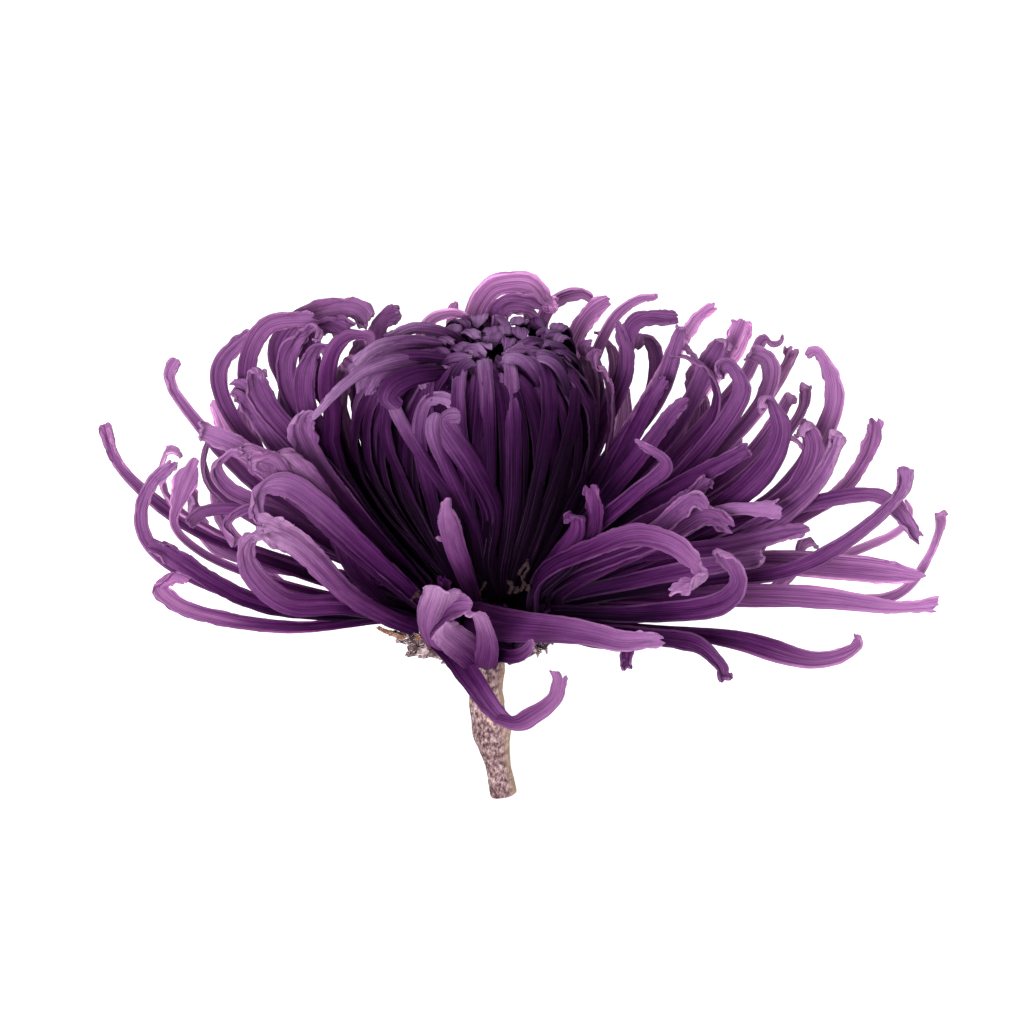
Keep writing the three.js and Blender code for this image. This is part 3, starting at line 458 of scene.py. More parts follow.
def drawnTopLine(flat):
    # across, up and depth of each point, free of the dome
    points = [fromFront(*flat[i : i + 3]) for i in range(0, len(flat), 3)]
    return placed(smoothLine(points))


def drawnDomeLine(width, flat, turnIn=False):
    domeDepths = np.arange(domeSearch["from"], domeSearch["to"] + domeSearch["step"], domeSearch["step"])
    points = []
    for across, up in pairsOf(flat):
        best = None
        for depth in domeDepths:
            p = fromFront(across, up, depth)
            outside = math.hypot(p[0] - domeAxis(p[2]), p[1]) - domeRadius(p[2])
            if best is None or outside < best[1] - 1e-6:
                best = (p, outside)
            if outside <= 0:
                break
        points.append(best[0])
    azimuth = math.atan2(points[0][1], points[0][0] - domeAxis(points[0][2]))
    root = (
        dome["rootRadius"] * math.cos(azimuth),
        dome["rootRadius"] * math.sin(azimuth),
        dome["rootHeight"],
    )
    points = [p for p in points if p[2] > dome["coreTop"]]
    points = insideDome(smoothLine([root, *points]), width)
    if turnIn:  # the end turns in over the edge of the hole
        across, depth = domeHole["middle"]
        inward = np.array((across - points[-1][0], depth - points[-1][1], 0))
        inward /= np.linalg.norm(inward)
        over = [points[-1] + inward * reach - (0, 0, fall) for reach, fall in domeHole["over"]]
        points = smoothLine([*points[:-3:9], *over])
    return placed(points)


# florets placed by rule: angles in degrees round the axis, lengths in mm
outerRings = [
    {
        "count": 12, "from": 35, "to": 145, "loose": 1, "sag": 14,
        "root": (8.8, 2.6), "length": 55, "width": 2.9, "rise": (6, -4, -7, 6, 125),
    },
    {
        "count": 13, "from": 18, "to": 162, "loose": 1, "sag": 4,
        "root": (8.4, 3.2), "length": 53, "width": 2.9, "rise": (20, 15, 15, 32, 160),
    },
    {
        "count": 14, "from": 14, "to": 166, "loose": 1, "sag": 0,
        "root": (8.0, 3.6), "length": 49, "width": 3.0, "rise": (36, 38, 44, 68, 185),
    },
    {
        "count": 11, "from": 22, "to": 158, "loose": 1, "sag": 0,
        "root": (7.4, 4.2), "length": 45, "width": 3.0, "rise": (60, 60, 68, 96, 205),
    },
    {
        "count": 2, "from": 50, "to": 130, "loose": 0, "sag": 0,
        "root": (8.6, 2.2), "length": 55, "width": 3.0, "rise": (-2, -18, -20, -2, 90),
    },
]
# the last two rows reach over the shoulder to the hole in the middle
domeRings = [
    {"count": 14, "from": -8, "to": 188, "inset": 1.0, "width": 2.8, "low": 8.5, "pale": -0.08},
    {"count": 15, "from": 4, "to": 340, "inset": 0.80, "width": 2.5, "low": 9, "pale": -0.12},
    {
        "count": 17, "from": 186, "to": 350, "inset": 0.93, "width": 2.4, "low": 9, "pale": -0.16,
        "toHole": 3.6, "inward": 9, "drop": -1.2,
    },
    {
        "count": 11, "from": 198, "to": 345, "inset": 0.84, "width": 2.4, "low": 9, "pale": -0.22,
        "toHole": 3.0, "inward": 9, "drop": -0.6,
    },
]
domeGrowth = {
    "rootRadius": 4.2,
    "heights": (13, 19, 26, 32, 37, 40.5),
    "swayLength": 30,
    "fold": 42,
    "foldSpread": 1.2,
    "inward": 4,
    "drop": 1.2,
    "dropSpread": 0.6,
}
domeHole = {
    "middle": (-1.8, 1.2),
    "radius": 8.2,
    "over": ((0.9, -0.35), (2.0, -0.2), (3.2, 0.7)),  # how an end turns in: inwards and down
}
domeSearch = {"from": -20, "to": 10, "step": 0.25}  # depths where a drawn point may meet the dome
ruleSpread = {"azimuth": 3, "length": 0.06, "rise": 7, "sway": 3}


def grownLine(azimuth, root, length, rise, sway, steps=28):
    radius, z = root
    turn = 0
    points = []
    stops = list(zip(np.linspace(0, 1, len(rise)), rise))
    for i in range(steps + 1):
        angle = azimuth + turn
        points.append((radius * math.cos(angle), radius * math.sin(angle), z))
        slope = math.radians(readOff(stops, (i + 0.5) / steps))
        radius += length / steps * math.cos(slope)
        z += length / steps * math.sin(slope)
        turn += math.radians(sway) / steps
    return points


def outerRingLines(ring, around):
    lines = []
    for degrees in np.linspace(ring["from"], ring["to"], ring["count"]):
        azimuth = math.radians(degrees + ring["loose"] * around(ruleSpread["azimuth"]))
        length = ring["length"] * (1 + ring["loose"] * around(ruleSpread["length"]))
        sag = ring["sag"] * (1 - math.sin(azimuth))
        lean = ring["loose"] * around(ruleSpread["rise"]) - sag
        rise = [value + (lean if i else 0) for i, value in enumerate(ring["rise"])]
        sway = ring["loose"] * around(ruleSpread["sway"])
        line = grownLine(azimuth, ring["root"], length, rise, sway)
        lines.append(alongFloor(placed(outsideDome(line, ring["width"]))))
    return lines


def domeRingLines(ring, around):
    lines = []
    heights = domeGrowth["heights"]
    for degrees in np.linspace(ring["from"], ring["to"], ring["count"]):
        azimuth = math.radians(degrees + around(ruleSpread["azimuth"]))
        sway = math.radians(around(ruleSpread["sway"]) * 2)
        fold = domeGrowth["fold"] + around(domeGrowth["foldSpread"])
        root = domeGrowth["rootRadius"]
        points = [(root * math.cos(azimuth), root * math.sin(azimuth), ring["low"])]
        for z in (*heights, fold):
            angle = azimuth + sway * (z - heights[0]) / domeGrowth["swayLength"]
            radius = domeRadius(z) * ring["inset"]
            points.append((domeAxis(z) + radius * math.cos(angle), radius * math.sin(angle), z))
        bend = np.array(points[-1][:2])
        toHole = np.array(domeHole["middle"]) - bend
        far = np.linalg.norm(toHole)
        short = far - ring.get("toHole", domeHole["radius"])
        tip = bend + toHole / far * min(ring.get("inward", domeGrowth["inward"]), short)
        drop = ring.get("drop", domeGrowth["drop"]) - around(domeGrowth["dropSpread"])
        points.append((*tip, fold - drop))
        lines.append(placed(insideDome(smoothLine(points), ring["width"])))
    return lines


# a floret's blade, modelled once flat and then bent along each line
bladeForms = {
    "fine": {"across": 12, "along": 84},
    "plain": {"across": 10, "along": 48},
    "short": {"across": 10, "along": 24},
}
# what each point carries for the materials: its floret's tone, how far from the root it is, its share
# of the way out, which wall it is on, how thin its floret is and how pale
bladeAttributes = ("tone", "reach", "outward", "wall", "thin", "pale")


def deselectAll():
    bpy.ops.object.select_all(action="DESELECT")
    bpy.context.view_layer.objects.active = None


def pointsOf(mesh):
    points = np.empty(len(mesh.vertices) * 3)
    mesh.vertices.foreach_get("co", points)
    return points.reshape(-1, 3)


def movePoints(mesh, points):
    mesh.vertices.foreach_set("co", points.ravel())


def setAttributes(piece, **values):
    # one value for all points, or one for each
    for name, value in values.items():
        layer = piece.data.attributes.get(name) or piece.data.attributes.new(name, "FLOAT", "POINT")
        layer.data.foreach_set("value", np.full(len(piece.data.vertices), value))


def makeBlade(name, rule):
    # a flat strip one wide and one long, with its rows closer together towards the tip
    deselectAll()
    bpy.ops.mesh.primitive_grid_add(
        x_subdivisions=rule["across"], y_subdivisions=rule["along"], size=1, location=(0, 0.5, 0)
    )
    blade = bpy.context.object
    blade.name = name + "Blade"
    bpy.ops.object.transform_apply(location=True)
    mesh = blade.data
    for vertex in mesh.vertices:
        vertex.co.y = 1 - (1 - vertex.co.y) ** 1.4
    uv = mesh.uv_layers.active.data
    for loop in mesh.loops:
        co = mesh.vertices[loop.vertex_index].co
        uv[loop.index].uv = (co.x + 0.5, co.y)
    for key in bladeAttributes:
        mesh.attributes.new(key, "FLOAT", "POINT")
    return blade


blades = {name: makeBlade(name, rule) for name, rule in bladeForms.items()}
print("blades made")

# half angle that the blade is rolled through at the root, a third, two thirds, near the tip and at
# it; how flat the roll is; how the width goes along it; how round and ragged the tip is; crumple
floretLooks = {
    "quill": {
        "roll": (2.7, 2.3, 1.9, 1.6, 1.9), "flat": 0.45,
        "widths": (0.42, 0.62, 0.92, 1.0, 0.62), "round": 0.8, "ragged": 0.14, "crumple": 0.12,
    },
    "spoon": {
        "roll": (2.7, 2.1, 1.5, 0.9, 1.1), "flat": 0.5,
        "widths": (0.38, 0.55, 0.82, 1.15, 0.80), "round": 1.0, "ragged": 0.20, "crumple": 0.13,
    },
    "strap": {
        "roll": (2.5, 1.7, 1.2, 1.0, 1.3), "flat": 0.38,
        "widths": (0.45, 0.74, 1.0, 0.94, 0.66), "round": 0.7, "ragged": 0.18, "crumple": 0.12,
    },
    "torn": {
        "roll": (2.6, 1.9, 1.3, 0.9, 1.2), "flat": 0.45,
        "widths": (0.42, 0.66, 0.96, 1.08, 0.85), "round": 0.7, "ragged": 0.42, "crumple": 0.22,
    },
    "point": {
        "roll": (2.6, 1.8, 1.3, 1.3, 1.6), "flat": 0.45,
        "widths": (0.42, 0.76, 1.0, 0.80, 0.28), "round": 0.9, "ragged": 0.10, "crumple": 0.05,
    },
    "club": {
        "roll": (2.6, 2.3, 2.3, 2.6, 2.9), "flat": 0.7,
        "widths": (0.60, 0.85, 0.95, 1.0, 1.0), "round": 0.1, "ragged": 0.02, "crumple": 0.05,
        "closed": 0.55,
    },
    "lobe": {
        "roll": (1.6, 1.0, 0.9, 0.9, 1.0), "flat": 0.45,
        "widths": (0.50, 0.58, 0.86, 1.0, 0.95), "round": 1.3, "ragged": 0.07, "crumple": 0.05,
        "turns": 0,
    },
    "mitten": {
        "roll": (0.9, 0.8, 0.7, 0.8, 0.9), "flat": 0.45,
        "widths": (0.90, 1.0, 1.05, 1.0, 0.85), "round": 1.2, "ragged": 0.10, "crumple": 0.06, "turns": 0,
    },
    "wedge": {
        "roll": (1.4, 1.1, 0.9, 0.9, 1.2), "flat": 0.38,
        "widths": (0.80, 1.0, 0.90, 0.55, 0.40), "round": 0.6, "ragged": 0.14, "crumple": 0.09,
        "turns": 0.2,
    },
    "flip": {
        "roll": (1.5, 1.0, 0.8, 0.8, 0.7), "flat": 0.40,
        "widths": (0.85, 1.0, 0.70, 0.46, 1.0), "round": 0.1, "ragged": 0.25, "crumple": 0.10,
        "turns": 0.3,
    },
    "even": {
        "roll": (1.0, 0.8, 0.8, 0.8, 0.9), "flat": 0.45,
        "widths": (0.90, 1.0, 1.0, 0.95, 0.70), "round": 0.9, "ragged": 0.08, "crumple": 0.07,
        "turns": 0.3,
    },
    "paddle": {
        "roll": (2.7, 2.5, 1.9, 0.6, 0.8), "flat": 0.36, "stops": (0, 0.6, 0.82, 0.94, 1),
        "widths": (0.24, 0.22, 0.22, 1.05, 0.70), "round": 1.1, "ragged": 0.16, "crumple": 0.08,
        "turns": 0.1,
    },
    "leaf": {
        "roll": (2.6, 1.6, 1.0, 1.0, 1.5), "flat": 0.38,
        "widths": (0.36, 0.60, 0.98, 0.85, 0.30), "round": 0.8, "ragged": 0.15, "crumple": 0.07,
    },
    "fishtail": {
        "roll": (2.6, 1.6, 1.0, 1.3, 0.7), "flat": 0.38, "stops": (0, 0.33, 0.7, 0.94, 1),
        "widths": (0.45, 0.75, 1.0, 0.38, 0.62), "round": 0, "ragged": 0.30, "crumple": 0.10,
        "turns": 0.3,
    },
    "flared": {
        "roll": (2.7, 2.2, 1.0, 1.2, 0.6), "flat": 0.40,
        "widths": (0.26, 0.32, 1.0, 0.66, 0.85), "round": 0.3, "ragged": 0.30, "crumple": 0.09,
    },
    "sweep": {
        "roll": (1.0, 0.9, 0.8, 0.8, 1.1), "flat": 0.34,
        "widths": (0.90, 1.10, 0.72, 0.52, 0.42), "round": 0.6, "ragged": 0.20, "crumple": 0.09,
        "turns": 0.2,
    },
    "folded": {
        "roll": (1.2, 0.8, 0.8, 0.9, 0.7), "flat": 0.36,
        "widths": (0.30, 1.0, 0.80, 0.70, 1.0), "round": 0.1, "ragged": 0.22, "crumple": 0.08,
        "turns": 0,
    },
    "hook": {
        "roll": (0.7, 0.6, 0.7, 0.9, 1.0), "flat": 0.45,
        "widths": (1.05, 0.95, 0.74, 0.62, 0.50), "round": 0.9, "ragged": 0.05, "crumple": 0.05,
        "turns": 0,
    },
    "spindle": {
        "roll": (2.2, 1.4, 1.1, 1.3, 1.8), "flat": 0.5, "stops": (0, 0.55, 0.84, 0.955, 1),
        "widths": (0.40, 0.80, 1.0, 0.36, 0.46), "round": 0.5, "ragged": 0.04, "crumple": 0.05,
        "turns": 0.3,
    },
    "bluntStrap": {
        "roll": (2.5, 1.7, 1.3, 1.1, 1.0), "flat": 0.34,
        "widths": (0.45, 0.80, 1.0, 0.98, 0.95), "round": 0.25, "ragged": 0.05, "crumple": 0.06,
        "turns": 0.3,
    },
    "knob": {
        "roll": (2.7, 2.2, 1.8, 2.2, 2.6), "flat": 0.50,
        "widths": (0.45, 0.70, 1.0, 0.62, 1.0), "round": 0.7, "ragged": 0.14, "crumple": 0.22,
    },
    "bud": {
        "roll": (2.4, 2.2, 2.2, 2.6, 2.9), "flat": 0.55,
        "widths": (0.55, 0.85, 1.0, 1.0, 0.72), "round": 0.3, "ragged": 0.06, "crumple": 0.24,
        "closed": 0.8,
        "rib": 0.015,
    },
    "bract": {
        "roll": (0.9, 0.8, 0.9, 1.2, 1.5), "flat": 0.6,
        "widths": (0.85, 1.0, 0.95, 0.75, 0.5), "round": 0.8, "ragged": 0.22, "crumple": 0.16,
    },
}
# how a tip turns out of the floret's own run: share of a turn, radius and way
tipTurns = {"-": None, "h": (0.30, 1.5, 1), "r": (0.75, 1.0, 1), "t": (0.45, 1.3, 1), "o": (0.35, 1.4, -1)}
bendRules = {
    "slim": 0.86,  # petals are this share of the width drawn for them
    "samples": 200,
    "stops": (0, 0.33, 0.66, 0.9, 1),
    "reachSpan": 60,  # this far from the root counts as one, mm
    "wall": 0.30,  # thickness, mm
    "wander": 0.10,
    "rib": 0.034,  # of the width
    "kinkFrom": 0.86,  # where along it a tip starts to bend aside
    "kink": (0.30, 0.40),  # most across and up, of the width
    "tightFrom": 0.35,  # width over bend radius at which the blade turns to bend flat
    "tightSpan": 0.9,
    "toBend": 0.6,
    "untwistedAt": 0.4,
    "sway": 0.3,
    "rollChange": 0.12,
    "phase": 3,
    "smoothBend": 5,  # samples to each side that a value is averaged over
    "smoothTurn": 10,
    "smoothWidth": 8,
    "curlMost": 0.4,  # of the length
    "curlTightens": 0.35,
    "bendRoom": 1.9,  # most width for the radius of a bend in its own plane
}
tipForm = {
    "notch": {"aside": 0.6, "width": 0.2, "depth": 0.9},
    "teeth": ((0.7, 2), (0.2, 6)),  # height, how many
    "roundness": 0.6,
    "roundPower": 2.2,
    "drawnIn": 0.97,  # how far a blunt end closes
}
crumpleForm = {
    "all": 0.20,  # how loose the whole blade is, and how much more so its end
    "end": 1.1,
    "endFrom": 0.80,
    "endSpan": 0.20,
    "endPower": 1.3,
    "ribs": 8.5,
    "fold": (0.08, 0.4),  # most height, most off the middle
}


def movingMean(values, reach):
    kernel = np.ones(2 * reach + 1) / (2 * reach + 1)
    padded = np.concatenate([values[:1].repeat(reach, 0), values, values[-1:].repeat(reach, 0)])
    if values.ndim == 1:
        return np.convolve(padded, kernel, "valid")
    return np.column_stack([np.convolve(padded[:, i], kernel, "valid") for i in range(3)])


def evenLine(line, samples):
    steps = np.concatenate([[0], np.cumsum(np.linalg.norm(np.diff(line, axis=0), axis=1))])
    even = np.linspace(0, steps[-1], samples)
    return np.column_stack([np.interp(even, steps, line[:, i]) for i in range(3)]), steps[-1]


def waves(x, y, draws, count=6):
    # smooth unevenness, from about -1 to 1, different for each floret
    total = np.zeros_like(x)
    for i in range(count):
        acrossWave = (1.5 + i) * x * (1 + draws(0.4))
        alongWave = (0.9 + 0.7 * i) * y
        total = total + np.sin(acrossWave + alongWave + draws(math.pi)) / (1 + 0.4 * i)
    return total / 2.2


def curledUnder(line, across, up, tangents, length, curl):
    # the end of the line rolled round the floret's width: share of a turn, radius and way
    turns, radius, way = curl
    rolled = min(turns * 2 * math.pi * radius, length * bendRules["curlMost"])
    start = int(len(line) * (1 - rolled / length))
    step = length / (len(line) - 1)
    for i in range(start, len(line)):
        tighter = 1 - bendRules["curlTightens"] * (i - start) / (len(line) - start)
        angle = (i - start + 1) * step / radius * way
        t = tangents[start] * math.cos(angle) + up[start] * math.sin(angle)
        up[i] = up[start] * math.cos(angle) - tangents[start] * math.sin(angle)
        tangents[i] = t
        line[i] = line[i - 1] + t * step * tighter
        across[i] = across[start]
    return line


def floretRun(look, line, width, facing, draws, twist, curl):
    # the middle line, the ways across and up, the width and the roll, all at even steps along it
    line, length = evenLine(line, bendRules["samples"])
    s = np.linspace(0, 1, len(line))
    tangents, across, up = framesAlong(line, facing(line))
    bend = np.gradient(tangents, axis=0) / (length / (len(line) - 1))
    bend = movingMean(bend, bendRules["smoothBend"])
    curve = np.linalg.norm(bend, axis=1)
    binormal = np.cross(tangents, bend / np.maximum(curve, 1e-6)[:, None])
    tight = np.clip((curve * width - bendRules["tightFrom"]) / bendRules["tightSpan"], 0, 1)
    toBend = np.arctan2((binormal * up).sum(1), (binormal * across).sum(1))
    toBend = (toBend + math.pi / 2) % math.pi - math.pi / 2
    turn = movingMean(tight * toBend * bendRules["toBend"], bendRules["smoothTurn"])
    turn = turn + twist * (s - bendRules["untwistedAt"])
    turn = turn + draws(bendRules["sway"]) * np.sin(7 * s + draws(bendRules["phase"]))
    turn = turn * look.get("turns", 1)
    cosTurn, sinTurn = np.cos(turn)[:, None], np.sin(turn)[:, None]
    across, up = across * cosTurn + up * sinTurn, up * cosTurn - across * sinTurn
    bent = np.clip((s - bendRules["kinkFrom"]) / (1 - bendRules["kinkFrom"]), 0, 1) ** 2 * width
    aside, lifted = (draws(most) for most in bendRules["kink"])
    line = line + (across * aside + up * lifted) * bent[:, None]
    if curl:
        line = curledUnder(line, across, up, tangents, length, curl)
    stops = look.get("stops", bendRules["stops"])
    wide = movingMean(width * np.interp(s, stops, look["widths"]), bendRules["smoothWidth"])
    wide = wide * (1 + bendRules["wander"] * np.sin(5 * s + draws(bendRules["phase"])) * s)
    lean = np.abs((across * binormal).sum(1))
    inPlane = np.sqrt(np.clip(1 - lean**2, 0, 1))
    wide = np.minimum(wide, bendRules["bendRoom"] / np.maximum(curve * inPlane, 0.02))
    roll = movingMean(np.interp(s, stops, look["roll"]), bendRules["smoothWidth"])
    roll = roll * (1 + draws(bendRules["rollChange"]))
    return {"s": s, "line": line, "across": across, "up": up, "wide": wide, "roll": roll}, length


def bentPoints(look, run, length, width, flat, draws, hollowFront):
    # where each point of the flat blade goes
    q, along = flat[:, 0] * 2, flat[:, 1]
    # the end: rounded at the sides and ragged across, with one notch
    notch = tipForm["notch"]
    offNotch = (q - draws(notch["aside"])) / notch["width"]
    teeth = 0
    for height, count in tipForm["teeth"]:
        teeth = teeth + height * np.abs(waves(q * count, q, draws))
    teeth = teeth + notch["depth"] * np.exp(-(offNotch**2))
    rounded = look["round"] * tipForm["roundness"] * np.abs(q) ** tipForm["roundPower"]
    pull = (rounded + look["ragged"] * teeth) * width / length
    place = np.clip(along * (1 - pull), 0, 1)

    def at(key):
        values = run[key]
        if values.ndim == 1:
            return np.interp(place, run["s"], values)
        return np.column_stack([np.interp(place, run["s"], values[:, i]) for i in range(3)])

    w, angle = at("wide"), at("roll")
    if "closed" in look:  # a blunt end, drawn in like a finger's
        past = np.clip((along - 1) * length / (look["closed"] * width) + 1, 0, 1)
        w = w * np.sqrt(1 - tipForm["drawnIn"] * past**2)
    radius = w / 2 / np.sin(np.minimum(angle, math.pi / 2))
    x = radius * np.sin(angle * q)
    y = radius * look["flat"] * (np.cos(angle * q) - np.sin(angle) / angle)
    # lengthwise ribs, a fold off the middle, uneven edges and a crumpled end
    mmAlong = along * length
    form = crumpleForm
    rib = look.get("rib", bendRules["rib"])
    y = y + rib * w * np.cos(form["ribs"] * q + draws(bendRules["phase"]))
    foldHeight, foldAside = (draws(most) for most in form["fold"])
    y = y + foldHeight * w * np.abs(q - foldAside)
    end = np.clip((along - form["endFrom"]) / form["endSpan"], 0, 1) ** form["endPower"]
    loose = look["crumple"] * at("wide") * (form["all"] + form["end"] * end)
    y = y + loose * waves(q * 1.6, mmAlong * 0.55, draws)
    x = x + 0.7 * loose * np.abs(q) ** 2 * waves(q, mmAlong * 0.8, draws)
    y = y + 1.2 * loose * np.abs(q) ** 3 * waves(np.sign(q) * 3, mmAlong * 1.1, draws)
    if hollowFront:
        y = -y
    p = at("line") + at("across") * x[:, None] + at("up") * y[:, None]
    p[:, 2] = np.maximum(p[:, 2], bendRules["wall"] / 2)
    return p


def bendAlong(
    form, kind, line, width, facing, draws, twist=0.0, hollowFront=False, curl=None,
    thin=0.4, pale=0.0, start=0.0,
):
    look = floretLooks[kind]
    width = width * bendRules["slim"]
    run, length = floretRun(look, line, width, facing, draws, twist, curl)
    deselectAll()
    floret = blades[form].copy()
    floret.data = blades[form].data.copy()
    bpy.context.collection.objects.link(floret)
    mesh = floret.data
    flat = pointsOf(mesh)
    along = flat[:, 1]
    p = bentPoints(look, run, length, width, flat, draws, hollowFront)
    movePoints(mesh, p * mm)
    setAttributes(
        floret,
        tone=0.5 + draws(0.5),
        reach=start * 0.5 + along * length / bendRules["reachSpan"],
        outward=start + (1 - start) * along,
        thin=thin,
        pale=pale,
    )
    # the wall's thickness; the points on its far side are marked
    bpy.context.view_layer.objects.active = floret
    solidify = floret.modifiers.new("wall", "SOLIDIFY")
    solidify.thickness = bendRules["wall"] * mm
    solidify.offset = 0
    bpy.ops.object.modifier_apply(modifier=solidify.name)
    wall = np.zeros(len(mesh.vertices))
    wall[len(p) :] = 1
    setAttributes(floret, wall=1 - wall if hollowFront else wall)
    return floret


def joined(name, florets, node, material):
    deselectAll()
    for floret in florets:
        floret.select_set(True)
    bpy.context.view_layer.objects.active = florets[0]
    bpy.ops.object.join()
    piece = bpy.context.object
    piece.name = name
    piece.data.name = name
    piece.data.materials.clear()
    piece.data.materials.append(material)
    bpy.ops.object.shade_smooth_by_angle(angle=math.radians(60))
    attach(piece, "root")
    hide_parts(node)
    print(name, len(piece.data.polygons), "faces")
    return piece


# materials, all read from the florets' own maps and attributes or from Object coordinates
def newMaterial(name):
    material = bpy.data.materials.new(name)
    material.use_nodes = True
    material.node_tree.nodes.clear()
    return material, material.node_tree


def addNode(tree, kind, settings=None, links=None, **inputs):
    node = tree.nodes.new("ShaderNode" + kind)
    for key, value in (settings or {}).items():
        setattr(node, key, value)
    for key, value in inputs.items():
        node.inputs[key].default_value = value
    for key, source in (links or {}).items():
        tree.links.new(source, node.inputs[key])
    return node


def ramp(tree, source, stops):
    node = addNode(tree, "ValToRGB", links={"Fac": source})
    elements = node.color_ramp.elements
    while len(elements) < len(stops):
        elements.new(0.5)
    for element, (place, colour) in zip(elements, stops):
        element.position = place
        element.color = (*colour, 1)
    return node.outputs["Color"]


def fed(tree, node, values):
    # a number or a colour is set on its socket, and another node's output is linked to it
    for index, value in values.items():
        if isinstance(value, bpy.types.NodeSocket):
            tree.links.new(value, node.inputs[index])
        else:
            node.inputs[index].default_value = value
    return node


def mixed(tree, blend, share, a, b):
    node = addNode(tree, "Mix", {"data_type": "RGBA", "blend_type": blend})
    return fed(tree, node, {0: share, 6: a, 7: b}).outputs[2]


def maths(tree, operation, a, b=0.0, clamp=False):
    node = addNode(tree, "Math", {"operation": operation, "use_clamp": clamp})
    return fed(tree, node, {0: a, 1: b}).outputs[0]


def plus(tree, a, b, clamp=False):
    return maths(tree, "ADD", a, b, clamp)


def minus(tree, a, b, clamp=False):
    return maths(tree, "SUBTRACT", a, b, clamp)


def times(tree, a, b, clamp=False):
    return maths(tree, "MULTIPLY", a, b, clamp)


def swing(tree, value, share):
    # a pattern's swing to both sides of its middle
    return times(tree, minus(tree, value, 0.5), share)


def attribute(tree, name):
    return addNode(tree, "Attribute", {"attribute_name": name}).outputs["Fac"]


def noise(tree, vector, scale, detail, rough=0.5):
    node = addNode(tree, "TexNoise", links={"Vector": vector}, Scale=scale, Detail=detail, Roughness=rough)
    return node.outputs["Fac"]


def bumped(tree, height, strength, distance):
    node = addNode(tree, "Bump", links={"Height": height}, Strength=strength, Distance=distance)
    return node.outputs["Normal"]


def dull(tree, colour, rough, shine, normal=None):
    links = {"Base Color": colour}
    if normal is not None:
        links["Normal"] = normal
    shader = addNode(tree, "BsdfPrincipled", links=links, Roughness=rough)
    shader.inputs["Specular IOR Level"].default_value = shine
    return shader.outputs[0]


def finish(tree, surface):
    addNode(tree, "OutputMaterial", links={"Surface": surface})


petal = {
    # how far out: colour; the near-black colours at the roots and in the inner and centre florets are partly
    # their own deep colour and partly painted shade deep in the head
    "outer": {
        "stops": [
            (0.12, (0.0045, 0.0006, 0.0065)),
            (0.28, (0.018, 0.0018, 0.022)),
            (0.46, (0.058, 0.0120, 0.063)),
            (0.64, (0.112, 0.036, 0.115)),
            (0.82, (0.180, 0.074, 0.178)),
            (1.0, (0.285, 0.148, 0.280)),
        ],
        "glow": (0.98, 0.68, 0.93),
        "through": 0.52,
    },
    "inner": {
        "stops": [
            (0.20, (0.0030, 0.0002, 0.0040)),
            (0.40, (0.011, 0.0010, 0.014)),
            (0.56, (0.035, 0.007, 0.041)),
            (0.72, (0.090, 0.032, 0.098)),
            (0.90, (0.208, 0.108, 0.220)),
        ],
        "glow": (0.75, 0.30, 0.70),
        "through": 0.25,
    },
    "centre": {
        "stops": [
            (0.15, (0.004, 0.0006, 0.006)),
            (0.35, (0.040, 0.012, 0.048)),
            (0.58, (0.112, 0.050, 0.126)),
            (0.90, (0.215, 0.125, 0.232)),
        ],
        "glow": (0.70, 0.35, 0.68),
        "through": 0.10,
    },
}
petalGrain = {
    # streaks across, change along, change from floret to floret, detail, roughness
    "wander": (2, 5, 29, 2, 0.6),
    "fine": (30, 3.4, 83, 4, 0.62),
    "veins": (11, 2.0, 57, 2, 0.6),
    "glints": (40, 1.8, 19, 2, 0.5),
    "cloud": (2.5, 5, 41, 3, 0.6),
    # what each adds to the place on the colours
    "wandering": 0.10,
    "outwardPower": 1.5,
    "outward": 0.54,
    "reach": 0.45,
    "cloudy": 0.42,
    "toned": 0.18,
    "streaked": 0.16,
    # value of the pattern: what the colour is multiplied by
    "stripes": [
        (0.36, (0.58, 0.47, 0.63)),
        (0.47, (0.94, 0.92, 0.95)),
        (0.54, (1.08, 1.08, 1.07)),
        (0.64, (1.38, 1.42, 1.36)),
    ],
    "broad": [(0.37, (0.62, 0.50, 0.66)), (0.47, (1, 1, 1)), (0.62, (1.15, 1.17, 1.13))],
    # painted highlights: where the glints pattern draws thin light lines, and the colour added for them
    "lines": [(0.58, (0, 0, 0)), (0.68, (1, 1, 1))],
    "paintedGlintColour": (0.040, 0.018, 0.044, 1),
    # partly painted shade: what the hollow side is multiplied by
    "hollow": (0.55, 0.32, 0.62, 1),
    # painted light: the pale colour painted along the edges as a glow
    "edge": (0.34, 0.18, 0.36, 1),
    # partly a dusty bloom and partly painted sheen
    "bloomAndSheen": (0.175, 0.112, 0.200, 1),
    # scale, detail and colours of the blots and the dots
    "blots": (1100, 4, [(0.38, (0.94, 0.93, 0.95)), (0.50, (1, 1, 1)), (0.62, (1.05, 1.06, 1.04))]),
    "dots": (5200, 2, [(0.36, (0.90, 0.89, 0.91)), (0.50, (1, 1, 1)), (0.64, (1.12, 1.12, 1.11))]),
    "specks": (2600, 3),
    "bump": (0.6, 0.00026),
    "roughness": 0.62,
    "shine": 0.02,
}


